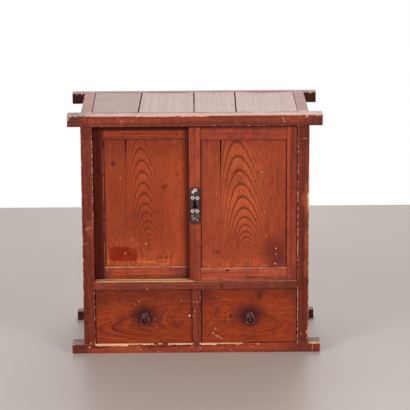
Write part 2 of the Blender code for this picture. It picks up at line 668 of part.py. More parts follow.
def build_rosette(side, drawer_body, pivot, iron):
    """The crowned washer behind the staple's eye."""
    bm = bmesh.new()
    disc = bmesh.ops.create_circle(bm, cap_ends=True, segments=32, radius=ROSETTE_RADIUS)
    raised = bmesh.ops.extrude_face_region(bm, geom=disc["verts"][0].link_faces[:])
    top = [item for item in raised["geom"] if isinstance(item, bmesh.types.BMVert)]
    bmesh.ops.translate(bm, verts=top, vec=(0, 0, ROSETTE_THICKNESS))
    crown = [item for item in raised["geom"] if isinstance(item, bmesh.types.BMFace)]
    bmesh.ops.inset_region(bm, faces=crown, thickness=ROSETTE_RADIUS / 2, depth=ROSETTE_CROWN)
    bmesh.ops.rotate(bm, verts=bm.verts, cent=(0, 0, 0), matrix=Matrix.Rotation(math.pi / 2, 3, "X"))
    bmesh.ops.translate(bm, verts=bm.verts, vec=(0, PULL_STANDOFF - FIT, 0))
    bmesh.ops.recalc_face_normals(bm, faces=bm.faces)
    return object_from(bm, f"{side}_pull_rosette", iron, pivot, drawer_body, smooth=True)


def build_staple(side, drawer_body, pivot, iron):
    """The staple: a bent wire whose eye holds the ring and whose legs are clenched inside the drawer."""
    curve = bpy.data.curves.new(f"{side}_pull_staple", "CURVE")
    curve.dimensions = "3D"
    curve.bevel_depth = STAPLE_WIRE
    curve.bevel_resolution = 2
    curve.use_fill_caps = True
    points = staple_path()
    spline = curve.splines.new("POLY")
    spline.points.add(len(points) - 1)
    for point, (y, z) in zip(spline.points, points):
        point.co = (0, y, z, 1)
    curve.materials.append(iron)
    place(bpy.data.objects.new(f"{side}_pull_staple", curve), pivot, drawer_body)


def build_ring(side, drawer_body, pivot, iron):
    """The ring, which turns about the middle of the staple's eye."""
    swing = moving_body(f"{side}_ring_swing", pivot, drawer_body)
    bm = bmesh.new()
    section = bmesh.ops.create_circle(bm, cap_ends=False, segments=10, radius=RING_WIRE)
    across = Matrix.Rotation(math.pi / 2, 3, "Y")
    bmesh.ops.rotate(bm, verts=section["verts"], cent=(0, 0, 0), matrix=across)
    bmesh.ops.spin(
        bm,
        geom=bm.edges[:],
        cent=(0, 0, -RING_RADIUS),
        axis=(0, 1, 0),
        angle=2 * math.pi,
        steps=32,
        use_merge=True,
    )
    bmesh.ops.recalc_face_normals(bm, faces=bm.faces)
    object_from(bm, f"{side}_pull_ring", iron, pivot, swing, smooth=True)


def build_pull(side, drawer_body, front, pivot, iron):
    """A ring pull: rosette, staple and ring, and the slot that the staple's legs pass through."""
    rosette = build_rosette(side, drawer_body, pivot, iron)
    legs = 2 * (2 * STAPLE_WIRE + STAPLE_LEG_GAP / 2 + FIT)
    slot = Box(
        about(pivot.x, 2 * (STAPLE_WIRE + FIT)),
        (pivot.y + EYE_RADIUS, pivot.y + PULL_STANDOFF + DRAWER_FRONT_THICKNESS + OVERRUN),
        about(pivot.z, legs),
    )
    front.cut(slot)
    cut_box(rosette, pivot, slot)
    build_staple(side, drawer_body, pivot, iron)
    build_ring(side, drawer_body, pivot, iron)


def main():
    clear_scene()
    frame_wood = finish("red_brown_frame", (0.155, 0.036, 0.018), 0.42)
    panel_wood = finish("figured_panel", (0.235, 0.052, 0.020), 0.38)
    top_wood = finish("faded_board", (0.215, 0.098, 0.075), 0.50)
    raw_wood = finish("bare_wood", (0.330, 0.190, 0.105), 0.70)
    iron = finish("dark_iron", (0.045, 0.045, 0.050), 0.45, 0.9)

    front_face = Y_FRONT + FRONT_DOOR_SETBACK
    rear_face = front_face + DOOR_THICKNESS + DOOR_SPACING
    frame = build_frame(frame_wood)
    build_boards(frame, top_wood, raw_wood)
    build_inside(frame, raw_wood)
    cut_tracks(frame, (front_face, rear_face))
    doors = {
        "left": build_door("left", rear_face, frame_wood, panel_wood),
        "right": build_door("right", front_face, frame_wood, panel_wood),
    }
    build_lock(doors, front_face, rear_face, iron)
    for side, sign in SIDES:
        body, front, pivot = build_drawer(side, sign, panel_wood, raw_wood)
        build_pull(side, body, front, pivot, iron)


main()
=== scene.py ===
"""Looks of the merchant chest: worn lacquered timber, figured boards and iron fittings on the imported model."""

import json
import math
from functools import partial, reduce

import bmesh
import bpy
from bpy.props import FloatProperty, FloatVectorProperty, PointerProperty
from bpy.types import Operator, Panel, PropertyGroup
from mathutils import Matrix, Vector, noise


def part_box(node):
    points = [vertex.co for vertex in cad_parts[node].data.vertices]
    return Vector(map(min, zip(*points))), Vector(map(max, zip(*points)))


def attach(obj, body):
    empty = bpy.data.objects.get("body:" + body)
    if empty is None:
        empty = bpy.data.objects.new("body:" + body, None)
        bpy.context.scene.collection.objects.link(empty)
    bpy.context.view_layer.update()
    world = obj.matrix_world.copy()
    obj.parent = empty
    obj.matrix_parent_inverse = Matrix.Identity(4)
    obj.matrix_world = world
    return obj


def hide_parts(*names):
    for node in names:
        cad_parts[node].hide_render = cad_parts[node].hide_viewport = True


bl_info = {
    "name": "Merchant chest",
    "version": (1, 0, 0),
    "blender": (4, 5, 0),
    "location": "3D View > Sidebar > Chest",
    "description": "Dresses a merchant chest in worn lacquer, figured boards and iron fittings",
    "category": "Object",
}

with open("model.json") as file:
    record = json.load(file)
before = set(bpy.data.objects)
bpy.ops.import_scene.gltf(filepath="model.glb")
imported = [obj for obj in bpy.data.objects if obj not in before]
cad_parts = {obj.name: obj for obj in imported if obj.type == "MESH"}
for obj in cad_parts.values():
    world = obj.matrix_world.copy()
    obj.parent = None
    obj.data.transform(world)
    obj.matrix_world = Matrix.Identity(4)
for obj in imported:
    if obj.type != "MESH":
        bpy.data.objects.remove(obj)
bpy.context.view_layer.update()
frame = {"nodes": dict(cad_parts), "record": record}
NODES = frame["nodes"]
BODY_OF = {node: body for body, nodes in frame["record"]["behaviour"]["bodies"].items() for node in nodes}
X, Y, Z = range(3)

# Pieces that share a treatment
LONG_RAILS = ("front_top_rail", "rear_top_rail", "front_base_rail", "rear_base_rail", "door_sill")
END_RAILS = ("left_top_end_rail", "right_top_end_rail", "left_base_end_rail", "right_base_end_rail")
POSTS = ("front_left_post", "front_right_post", "rear_left_post", "rear_right_post", "drawer_divider")
TOP_BOARDS = ("top_board_1", "top_board_2", "top_board_3", "top_board_4")
RUNNERS = ("left_floor_bearer", "right_floor_bearer", "left_drawer_guide", "right_drawer_guide",
           "centre_drawer_guide")
SIDES = ("left", "right")

# Places read from the front, in metres
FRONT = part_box("front_top_rail")[0].y
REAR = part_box("rear_top_rail")[0].y
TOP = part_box("front_top_rail")[1].z
SILL_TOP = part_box("door_sill")[1].z
BASE_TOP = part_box("front_base_rail")[1].z
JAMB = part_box("front_right_post")[0].x

# Chips knocked out of the arrises: node, then centre, radius and depth of each
CHIPS = {
    "front_top_rail": (
        ((-0.415, FRONT, TOP), 0.016, 0.0026),
        ((-0.395, FRONT, TOP), 0.010, 0.0014),
        ((0.375, FRONT, TOP), 0.022, 0.0022),
        ((0.412, FRONT, TOP), 0.018, 0.0030),
        ((0.330, FRONT, TOP), 0.012, 0.0012),
        ((-0.002, FRONT, TOP), 0.010, 0.0012),
    ),
    "front_base_rail": (
        ((0.385, FRONT, BASE_TOP), 0.013, 0.0036),
        ((0.410, FRONT, BASE_TOP), 0.014, 0.0050),
        ((0.398, FRONT, BASE_TOP), 0.005, 0.0024),
        ((-0.088, FRONT, BASE_TOP), 0.008, 0.0020),
        ((-0.300, FRONT, BASE_TOP), 0.007, 0.0012),
        ((-0.418, FRONT, BASE_TOP), 0.010, 0.0016),
    ),
    "front_right_post": (
        ((0.3815, FRONT, 0.545), 0.018, 0.0030),
        ((0.3815, FRONT, 0.505), 0.014, 0.0022),
        ((0.3815, FRONT, 0.072), 0.016, 0.0034),
        ((0.3815, FRONT, 0.048), 0.012, 0.0030),
        ((0.3815, FRONT, 0.640), 0.008, 0.0010),
        ((0.3425, FRONT, 0.700), 0.010, 0.0012),
    ),
    "front_left_post": (
        ((-0.3815, FRONT, 0.660), 0.010, 0.0014),
        ((-0.3815, FRONT, 0.385), 0.012, 0.0018),
        ((-0.3425, FRONT, 0.705), 0.009, 0.0014),
        ((-0.3425, FRONT, 0.560), 0.008, 0.0012),
        ((-0.3425, FRONT, 0.445), 0.008, 0.0012),
        ((-0.3815, FRONT, 0.330), 0.008, 0.0012),
    ),
    "rear_top_rail": (
        ((-0.410, REAR, TOP), 0.014, 0.0022),
        ((-0.392, REAR, TOP), 0.011, 0.0016),
        ((0.405, REAR, TOP), 0.014, 0.0022),
    ),
}

# Where a piece is cut for its wear: across a chip, in shares of its radius, and along an arris, in arris widths
CHIP_CUTS = (-0.9, -0.55, -0.2, 0.2, 0.55, 0.9)
CHIPPED_STRIPS = (1.0, 2.4)
PLAIN_STRIPS = (1.0,)

# Spots on the finish: x, z, half width, half height and strength of each
PALE_ON_FRAME = (
    (-0.36, 0.442, 0.01, 0.0014, 0.55), (-0.365, 0.436, 0.007, 0.0014, 0.5), (-0.37, 0.388, 0.011, 0.001, 0.4),
    (-0.3639, 0.0218, 0.0036, 0.0036, 1), (-0.3585, 0.036, 0.003, 0.0022, 0.9),
    (-0.3448, 0.043, 0.0026, 0.0024, 0.9), (-0.2873, 0.0211, 0.0022, 0.0018, 0.7),
    (-0.2533, 0.019, 0.0022, 0.0018, 0.7), (-0.1988, 0.0203, 0.0024, 0.003, 0.8),
    (-0.1904, 0.0131, 0.0034, 0.0026, 0.8), (-0.1391, 0.0287, 0.0026, 0.0022, 0.9),
    (-0.1309, 0.0037, 0.003, 0.002, 0.8), (-0.0525, 0.003, 0.0028, 0.0018, 0.8),
    (-0.0149, 0.0241, 0.0024, 0.002, 0.8), (0.0294, 0.0291, 0.0026, 0.002, 0.8),
    (0.0669, 0.0287, 0.0024, 0.0018, 0.8), (0.1419, 0.0281, 0.01, 0.0013, 0.8),
    (0.21, 0.0293, 0.0044, 0.003, 1), (0.1896, 0.0206, 0.0024, 0.0018, 0.7),
    (0.1163, 0.0105, 0.0026, 0.002, 0.7), (0.014, 0.0167, 0.0024, 0.0024, 0.7),
    (0.2714, 0.0216, 0.0024, 0.0018, 0.7), (-0.0897, 0.031, 0.0064, 0.0044, 1),
    (0.4215, 0.005, 0.0024, 0.0024, 0.8), (0.3952, 0.015, 0.0013, 0.015, 0.8),
    (-0.1644, 0.228, 0.0018, 0.0032, 1), (-0.2452, 0.805, 0.0011, 0.008, 0.6),
    (-0.2385, 0.8083, 0.0011, 0.005, 0.6), (-0.2103, 0.8081, 0.0011, 0.004, 0.5),
    (-0.255, 0.8169, 0.003, 0.0014, 0.6), (-0.0561, 0.8036, 0.0014, 0.0024, 0.6),
    (0.2926, 0.8179, 0.0022, 0.0022, 0.8), (0.2948, 0.811, 0.0011, 0.006, 0.8),
    (0.2978, 0.803, 0.0011, 0.005, 0.7), (0.3713, 0.8197, 0.004, 0.0036, 1),
    (0.0634, 0.7895, 0.003, 0.0022, 0.7), (0.178, 0.7892, 0.006, 0.0022, 0.7),
    (0.2096, 0.789, 0.0028, 0.002, 0.7), (0.364, 0.744, 0.009, 0.0012, 0.6), (0.356, 0.064, 0.005, 0.0018, 0.5),
    (-0.422, 0.817, 0.004, 0.009, 0.8), (0.003, 0.18, 0.0018, 0.003, 0.9), (-0.006, 0.147, 0.0018, 0.0036, 0.8),
    (-0.0085, 0.18, 0.0016, 0.003, 0.7),
)
DARK_ON_FRAME = (
    (-0.3564, 0.806, 0.0013, 0.023, 0.9), (0.0881, 0.235, 0.0034, 0.009, 0.9), (0.36, 0.76, 0.03, 0.05, 0.3),
    (0.356, 0.57, 0.01, 0.04, 0.2), (-0.362, 0.77, 0.026, 0.035, 0.3), (0.356, 0.242, 0.09, 0.03, 0.3),
)
RUBBED_ON_FRAME = (
    (0.376, 0.53, 0.011, 0.07, 0.55), (0.37, 0.535, 0.017, 0.03, 0.55), (0.374, 0.39, 0.009, 0.05, 0.45),
    (0.372, 0.3, 0.008, 0.04, 0.4), (-0.355, 0.44, 0.014, 0.03, 0.35), (-0.245, 0.018, 0.07, 0.014, 0.55),
)
WORN_ON_FRAME = (
    (0.3815, 0.532, 0.01, 0.04, 0.34), (0.3815, 0.062, 0.01, 0.032, 0.36), (0.4, 0.033, 0.03, 0.01, 0.34),
    (-0.42, 0.815, 0.012, 0.02, 0.28), (0.39, 0.826, 0.05, 0.007, 0.26), (-0.3425, 0.56, 0.004, 0.05, 0.14),
)
DOTTED_ON_FRAME = (
    (0.3425, 0.525, 0.008, 0.32, 0.7), (0.3425, 0.13, 0.008, 0.13, 0.9), (-0.3425, 0.6, 0.008, 0.18, 0.8),
    (-0.3425, 0.14, 0.008, 0.12, 0.5), (0.3815, 0.38, 0.008, 0.38, 0.8), (-0.3815, 0.5, 0.008, 0.33, 0.5),
    (0, 0.788, 0.44, 0.008, 0.15),
)
PALE_ON_LEFT_DOOR = (
    (-0.168, 0.3764, 0.0021, 0.0036, 1), (-0.2385, 0.3422, 0.002, 0.0022, 0.9),
    (-0.2509, 0.6031, 0.0014, 0.0034, 0.5), (-0.301, 0.288, 0.0028, 0.002, 0.7),
    (-0.286, 0.259, 0.002, 0.0016, 0.8),
)
DARK_ON_LEFT_DOOR = (
    (-0.1051, 0.5725, 0.012, 0.009, 0.42), (-0.0965, 0.579, 0.005, 0.0064, 0.45),
    (-0.061, 0.6171, 0.0066, 0.01, 0.32), (-0.112, 0.32, 0.018, 0.014, 0.4),
)
PALE_ON_RIGHT_DOOR = (
    (0.2236, 0.6261, 0.0026, 0.002, 1), (0.2322, 0.489, 0.002, 0.002, 0.6), (0.2712, 0.3615, 0.0024, 0.0026, 1),
    (0.2712, 0.3415, 0.0018, 0.0018, 0.8), (0.2679, 0.309, 0.0038, 0.0024, 0.8),
    (0.239, 0.4082, 0.0024, 0.0016, 0.7), (0.2187, 0.2945, 0.0026, 0.0034, 0.9),
    (0.272, 0.26, 0.003, 0.0018, 0.7), (0.233, 0.302, 0.006, 0.0012, 0.5),
)
DARK_ON_RIGHT_DOOR = (
    (0.1067, 0.2877, 0.0078, 0.0036, 1), (0.2539, 0.5338, 0.0032, 0.008, 0.45),
    (0.2588, 0.6063, 0.0036, 0.012, 0.45), (0.0735, 0.3509, 0.012, 0.008, 0.4),
    (0.027, 0.536, 0.004, 0.003, 0.5),
)
PALE_ON_LEFT_DRAWER = (
    (-0.0226, 0.1302, 0.0042, 0.004, 1), (-0.1935, 0.1818, 0.0022, 0.0018, 0.9),
    (-0.1352, 0.0886, 0.0026, 0.002, 0.34), (-0.0803, 0.1378, 0.0024, 0.0018, 0.3),
    (-0.2055, 0.1707, 0.0024, 0.0018, 0.28), (-0.14, 0.12, 0.005, 0.0014, 0.22),
    (-0.1161, 0.109, 0.002, 0.002, 0.3),
)
DARK_ON_LEFT_DRAWER = (
    (-0.16, 0.21, 0.04, 0.01, 0.35), (-0.315, 0.19, 0.03, 0.03, 0.3),
)
PALE_ON_RIGHT_DRAWER = (
    (0.0575, 0.0679, 0.004, 0.0044, 0.38), (0.069, 0.0585, 0.0062, 0.0026, 0.34),
    (0.076, 0.0535, 0.0066, 0.0024, 0.4), (0.0855, 0.048, 0.0062, 0.0022, 0.32),
    (0.065, 0.084, 0.004, 0.0058, 0.28), (0.0694, 0.1967, 0.0024, 0.002, 0.36),
    (0.052, 0.1047, 0.0022, 0.0018, 0.26),
)
DARK_ON_RIGHT_DRAWER = (
    (0.0931, 0.1788, 0.0024, 0.0024, 0.7), (0.1033, 0.178, 0.0038, 0.0038, 1),
    (0.11, 0.1681, 0.0034, 0.0034, 1), (0.0726, 0.1542, 0.0036, 0.0036, 1), (0.0998, 0.1398, 0.0036, 0.0036, 1),
    (0.0658, 0.133, 0.0036, 0.0038, 1), (0.1167, 0.129, 0.0036, 0.0082, 1),
    (0.1269, 0.1005, 0.0032, 0.0032, 0.9), (0.2561, 0.1421, 0.0031, 0.0031, 0.9),
    (0.1542, 0.1713, 0.004, 0.003, 0.5), (0.215, 0.205, 0.01, 0.029, 0.55),
)

# Bare stretches along the upper front arris of the top and base rails: start, end and depth of each
TOP_WEAR = ((-0.345, -0.200, 0.0024), (-0.195, 0.045, 0.0044), (0.050, 0.350, 0.0020), (0.386, 0.421, 0.0026))
BASE_WEAR = (
    (-0.340, -0.233, 0.0064), (-0.226, -0.148, 0.0028), (-0.128, -0.118, 0.0022), (-0.093, -0.015, 0.0036),
    (0.016, 0.067, 0.0048), (0.072, 0.155, 0.0022), (0.384, 0.425, 0.0040),
)

# Washers on the lock plate: x and z. Tacks on it: x, z and radius. Nails in the top boards: x and y
LOCK_WASHERS = ((-0.0004, 0.5682), (-0.0093, 0.5420), (0.0071, 0.5405), (-0.0093, 0.4957), (0.0065, 0.4955))
BRIGHT_TACKS = ((-0.0080, 0.5612, 0.0046), (0.0066, 0.4638, 0.0024))
DULL_TACKS = (
    (-0.0101, 0.4792, 0.0044), (-0.0041, 0.4695, 0.0056), (0.0051, 0.4843, 0.0024), (-0.0098, 0.4655, 0.0016),
)
TOP_NAILS = ((-0.030, -0.137), (0.021, -0.140), (0.186, -0.139), (0.266, -0.141),
             (-0.150, 0.184), (-0.040, 0.186), (0.070, 0.183), (0.240, 0.185))
WASHER_RISE, PIN_RISE, TACK_RISE, NAIL_RISE = 0.0015, 0.0004, 0.0012, 0.0007
FORWARD = (0, -1, 0)

# The keyhole, painted black as shade: its middle, then outer and inner half width, low and high end of its stem
# and of its foot
KEYHOLE_X = -0.0021
KEYHOLE_PARTS = ((0.0044, 0.0036, 0.5120, 0.5315), (0.0086, 0.0076, 0.5064, 0.5136))

# How the keyhole has worn in the plate: how far out it pulls the metal, how much sideways and up, and its lift
KEYHOLE_REACH = (0.0150, 0.0260)
KEYHOLE_STRETCH = (0.36, 0.26)
KEYHOLE_LIFT = 0.0036

# Rosette of a pull: radius and height along its profile, as shares of the whole, and its scalloped rim
ROSETTE_PROFILE = ((0, 0), (0.98, 0), (1.0, 0.22), (0.96, 0.42), (0.86, 0.50), (0.74, 0.46), (0.62, 0.56),
                   (0.50, 0.86), (0.34, 0.97), (0, 1.0))
SCALLOPS = 16
SCALLOP_START = 0.55
SCALLOP_DEPTH = 0.045

# Grain of the door panels and drawer fronts, in the terms of the figures below
PANEL_GRAIN = {
    "left": {
        "top": 0.7383, "axis": (-0.1837, 0.0238, 0.1817), "crown": 0.10, "spread": 0.0938,
        "growth": (0.0, 25.5, 371.0, 5.0), "fade": (0.28, 0.40, 0.62),
    },
    "right": {
        "top": 0.7374, "axis": (0.1384, 0.0980, 0.0), "crown": 0.15, "spread": 0.0887,
        "growth": (-0.25, 20.7, 499.0, 5.0), "fade": (0.33, 0.43, 0.80),
    },
}
DRAWER_GRAIN = {
    "left": {
        "way": 1.0, "axis": (-0.0496, 0.1256, 0.15), "faintness": 0.34,
        "tips": ((-0.2836, 0.72), (-0.2199, 0.62), (-0.1206, 0.55), (-0.0866, 0.45), (-0.0600, 0.20)),
    },
    "right": {
        "way": -1.0, "axis": (-0.0622, 0.1270, 0.142), "faintness": 0.17,
        "tips": ((-0.2893, 0.50), (-0.2500, 0.22)),
    },
}
LOOP_PITCH = 0.062  # spacing of the faint loops
COUNT_START = 40.0  # growth lines are counted from here, so that no count falls below zero

# Bloom round each pull: centre, radius and screen colour, then the centre of its ring, round which the ring's
# shadow is painted
PULL_HALOS = {
    "left": ((-0.1771, 0.1360), 0.066, (62, 22, 24), (-0.1720, 0.1145)),
    "right": ((0.1790, 0.1310), 0.078, (62, 22, 27), (0.1829, 0.1115)),
}

# Seam of each door panel: where it closes, and its width at the top as a share of the seam gap
PANEL_SEAMS = {"left": (0.640, 1.5), "right": (0.560, 1.9)}

# Door frames: start, end and strength of the shade under the head, and of the stained ends of the bottom rail
HEAD_SHADE = {"left": (0.7655, 0.7725, 0.95), "right": (0.7800, 0.7828, 0.88)}
STAINED_ENDS = {
    "left": ((-0.105, -0.050, 0.60), (-0.272, -0.300, 0.55)),
    "right": ((0.235, 0.290, 0.20), (0.312, 0.330, 0.40)),
}

# Where the painted highlight on the left door's stile arris stands, and where the faces of its panel and of the
# drawer fronts begin
ARRIS_HIGHLIGHT_X = -0.3084
LEFT_PANEL_FACE = (-0.1690, -0.1700)
DRAWER_FACE = (-0.2020, -0.2030)

# Knot and deep red patch on the left panel: middle, half sizes and corner. The patch is rubbed where listed
KNOT_MIDDLE = (-0.2753, 0.6549)
KNOT_HALF = (0.0064, 0.0078)
PATCH_MIDDLE = (-0.2450, 0.3401)
PATCH_HALF = (0.0462, 0.0249)
PATCH_CORNER = 0.010
RUBBED_ON_PATCH = ((-0.2190, 0.3540, 0.0075, 0.0046, 0.6), (-0.2095, 0.3470, 0.0040, 0.0050, 0.45))

# Stain in the corner of the right panel: middle, half sizes, strength and screen colour of each layer
CORNER_STAIN = (
    ((0.262, 0.354), (0.054, 0.066), 0.52, (102, 36, 24)),
    ((0.272, 0.338), (0.042, 0.052), 0.36, (80, 32, 30)),
    ((0.290, 0.318), (0.022, 0.030), 0.42, (72, 36, 40)),
)
LACQUER_SPECULAR = 0.14
IRON_METALLIC = 0.55

# Camera, lamps with their place, target and size, and the reach of the floor
CAMERA_PLACE = (-0.032, -7.320, 2.298)
CAMERA_TURN = (0.24522, -0.00901, -0.00549)
CAMERA_LENS, CAMERA_SENSOR = 192.0, 36
LAMPS = (
    ("key", (-3.6, -4.0, 1.9), (0, -0.1, 0.45), 2.0),
    ("fill", (3.2, -4.2, 1.7), (0, -0.1, 0.45), 2.0),
    ("back", (0.3, 2.8, 3.2), (0, 0.1, 0.8), 2.6),
)
FLOOR_HALF_WIDTH, FLOOR_START = 7, -9


def tint(red, green, blue):
    """A screen colour, 0 to 255, as the linear numbers that materials take."""
    return tuple(((part / 255 + 0.055) / 1.055) ** 2.4 for part in (red, green, blue))


def paint(name, description, red, green, blue):
    """A colour that a user can change."""
    return FloatVectorProperty(
        name=name, description=description, subtype="COLOR", size=3, min=0, max=1, default=tint(red, green, blue)
    )


def length(name, description, default):
    """A size that a user can change."""
    return FloatProperty(
        name=name, description=description, unit="LENGTH", subtype="DISTANCE", min=0, default=default, precision=5
    )


def level(name, description, default):
    """A plain number that a user can change."""
    return FloatProperty(name=name, description=description, min=0, default=default)


class ChestColours(PropertyGroup):
    """The finishes of the chest."""

    frame_light: paint("Frame", "Lacquer on the posts and rails", 116, 46, 34)
    frame_dark: paint("Frame grain", "Darker grain and old lacquer on the posts and rails", 86, 33, 26)
    door_light: paint("Door frame", "Lacquer on the stiles and rails of the doors", 152, 61, 37)
    door_dark: paint("Door frame grain", "Darker grain of the doors' stiles and rails", 104, 40, 26)
    panel_light: paint("Panel", "Lacquer between the growth lines of the door panels", 171, 71, 37)
    panel_dark: paint("Panel grain", "Growth lines of the door panels", 93, 36, 21)
    drawer_light: paint("Drawer front", "Lacquer between the growth lines of the drawer fronts", 152, 58, 28)
    drawer_dark: paint("Drawer grain", "Growth lines of the drawer fronts", 78, 29, 17)
    board_light: paint("Top board", "Faded lacquer of the top boards", 197, 144, 132)
    board_dark: paint("Top board grain", "Grain of the top boards", 160, 112, 103)
    glow: paint("Warm streak", "Lacquer where it is thin and the wood glows through", 188, 80, 38)
    bloom: paint("Bloom", "Purple cast of the oldest lacquer", 100, 36, 28)
    bare: paint("Bare wood", "Wood where the lacquer is worn through", 232, 172, 118)
    rubbed: paint("Rubbed lacquer", "Lacquer that is worn thin along an arris", 196, 116, 88)
    # Also the painted shade in the recesses round the panels and the drawer fronts
    grime_and_shade: paint("Grime", "Dirt in the recesses and stains", 54, 16, 8)
    inside_light: paint("Inside", "Bare wood inside the case and drawers", 176, 134, 94)
    inside_dark: paint("Inside grain", "Grain of the bare wood", 132, 92, 60)
    iron: paint("Iron", "Dark wrought iron", 78, 62, 58)
    iron_worn: paint("Worn iron", "Iron where hands have rubbed it", 134, 130, 126)
    tin: paint("Washer", "Bright washers on the lock plate", 228, 210, 200)
    floor: paint("Floor", "Plain pale floor", 198, 186, 178)


class ChestSizes(PropertyGroup):
    """Sizes of the wear and of the small fittings."""

    wear_pitch: length("Wear pitch", "Spacing of the points that wear moves along an arris", 0.009)
    arris: length("Arris", "Width of the strip along an edge that wear can move", 0.005)
    rub: length("Rub", "Depth of the general rubbing along the arrises", 0.0007)
    board_sag: length("Board sag", "How far the top boards have sunk at the back", 0.0024)
    board_rise: length("Board rise", "How far the top boards stand above the front rail", 0.0014)
    board_shrinkage: length("Board shrinkage", "How far each edge of a top board has drawn back", 0.0010)
    board_lean: length("Board lean", "How far the first joint between top boards leans to the left", 0.0080)
    seam_gap: length("Seam gap", "How far the boards of a door panel have shrunk apart at the top", 0.0024)
    washer: length("Washer", "Outer radius of the washers on the lock plate", 0.0061)
    washer_hole: length("Washer hole", "Radius of the dark middle of a washer", 0.0024)
    nail: length("Nail", "Radius of the nail heads in the top boards", 0.0022)


class ChestStage(PropertyGroup):
    """Light and floor."""

    key: level("Key light", "Power of the broad light on the left, in watts", 150)
    fill: level("Fill light", "Power of the broad light on the right, in watts", 117)
    back: level("Back light", "Power of the broad light above and behind, in watts", 55)
    ambient: level("Ambient", "Strength of the even light from all round", 0.38)
    wall: FloatProperty(
        name="Wall", description="Where the floor ends behind the chest", unit="LENGTH", default=1.84
    )


class Value:
    """A number inside a node tree. Sums on it add the nodes that work them out."""

    def __init__(self, nodes, socket):
        self.nodes = nodes
        self.socket = socket

    def output(self, name):
        """Another output of the same node."""
        return Value(self.nodes, self.socket.node.outputs[name])

    def __add__(self, other):
        return self.nodes.sum("ADD", self, other)

    __radd__ = __add__

    def __sub__(self, other):
        return self.nodes.sum("SUBTRACT", self, other)

    def __rsub__(self, other):
        return self.nodes.sum("SUBTRACT", other, self)

    def __mul__(self, other):
        return self.nodes.sum("MULTIPLY", self, other)

    __rmul__ = __mul__

    def __truediv__(self, other):
        return self.nodes.sum("DIVIDE", self, other)

    def __rtruediv__(self, other):
        return self.nodes.sum("DIVIDE", other, self)

    def __pow__(self, other):
        return self.nodes.sum("POWER", self, other)

    def __abs__(self):
        return self.nodes.sum("ABSOLUTE", self)


class Nodes:
    """A node tree while it is being laid out."""

    def __init__(self, tree):
        self.tree = tree
        tree.nodes.clear()

    def feed(self, socket, value):
        """Gives a socket a link, a number or a colour."""
        if isinstance(value, Value):
            self.tree.links.new(value.socket, socket)
        elif socket.type == "RGBA":
            socket.default_value = (*value, 1)
        else:
            socket.default_value = value

    def node(self, kind, settings, sockets, output=0):
        """Adds any node: its settings first, then the values or links of its sockets."""
        made = self.tree.nodes.new(kind)
        for key, value in settings.items():
            setattr(made, key, value)
        for key, value in sockets.items():
            self.feed(made.inputs[key], value)
        return Value(self, made.outputs[output])

    def show(self, kind, surface):
        """Adds the output node and joins a surface to it."""
        self.feed(self.tree.nodes.new(kind).inputs["Surface"], surface)

    def sum(self, operation, *values):
        return self.node("ShaderNodeMath", {"operation": operation}, dict(enumerate(values)))

    def least(self, *values):
        return reduce(partial(self.sum, "MINIMUM"), values)

    def most(self, *values):
        return reduce(partial(self.sum, "MAXIMUM"), values)

    def hypot(self, across, up):
        return (across * across + up * up) ** 0.5

    def parts(self, vector):
        first = self.node("ShaderNodeSeparateXYZ", {}, {"Vector": vector})
        return first, first.output("Y"), first.output("Z")

    def join(self, x, y, z):
        return self.node("ShaderNodeCombineXYZ", {}, {"X": x, "Y": y, "Z": z})

    def step(self, value, start, end, low=0.0, high=1.0):
        """Eases from low at start to high at end."""
        sockets = {"Value": value, "From Min": start, "From Max": end, "To Min": low, "To Max": high}
        return self.node("ShaderNodeMapRange", {"interpolation_type": "SMOOTHSTEP"}, sockets)

    def between(self, value, low, high, soft):
        return self.step(value, low - soft, low) * self.step(value, high + soft, high)


class Finish(Nodes):
    """A material. Its x, y and z are where a point is on the chest at rest."""

    def __init__(self, name, specular=0.5, metallic=0.0):
        self.material = bpy.data.materials.new(name)
        self.material.use_nodes = True
        super().__init__(self.material.node_tree)
        self.colours = bpy.context.scene.chest_colours
        look = self.node("ShaderNodeBsdfPrincipled", {}, {"Specular IOR Level": specular, "Metallic": metallic})
        self.surface = look.socket.node
        self.show("ShaderNodeOutputMaterial", look)
        self.place = self.node("ShaderNodeTexCoord", {}, {}, "Object")
        self.x, self.y, self.z = self.parts(self.place)

    def note(self, name):
        """A place that the piece's mesh carries."""
        return self.node("ShaderNodeAttribute", {"attribute_name": name}, {}, "Vector")

    def cloud(self, vector, scale, detail=2.0, roughness=0.5, distortion=0.0):
        """Soft noise from 0 to 1."""
        sockets = {
            "Vector": vector, "Scale": scale, "Detail": detail, "Roughness": roughness, "Distortion": distortion,
        }
        return self.node("ShaderNodeTexNoise", {}, sockets)

    def drawn(self, vector, scale, *shape):
        """Soft noise with a scale of its own along each axis."""
        return self.cloud(self.node("ShaderNodeMapping", {}, {"Vector": vector, "Scale": scale}), 1, *shape)

    def mix(self, share, first, second):
        return self.node("ShaderNodeMix", {"data_type": "RGBA"}, {0: share, 6: first, 7: second}, 2)

    def washes(self, colour, *coats):
        """Lays coats over a colour one after another, each given as its mask and its colour."""
        for mask, coat in coats:
            colour = self.mix(mask, colour, coat)
        return colour

    def oval(self, middle, half):
        """How far out a point is from the middle of an oval on the front, whose rim is at 1."""
        return self.hypot((self.x - middle[0]) / half[0], (self.z - middle[1]) / half[1])

    def outside(self, middle, half):
        """How far a point is outside a rectangle on the front."""
        return self.hypot(self.most(abs(self.x - middle[0]) - half[0], 0.0),
                          self.most(abs(self.z - middle[1]) - half[1], 0.0))

    def inside(self, low, high):
        """How far a point is inside the nearest side of a box, seen from the front."""
        return self.least(self.x - low.x, high.x - self.x, self.z - low.z, high.z - self.z)

    def close(self, colour, roughness, height, relief):
        """Joins the finished patterns to the surface."""
        bump = self.node("ShaderNodeBump", {}, {"Height": height, "Distance": relief, "Strength": 1.0})
        for name, value in (("Base Color", colour), ("Roughness", roughness), ("Normal", bump)):
            self.feed(self.surface.inputs[name], value)
        return self.material


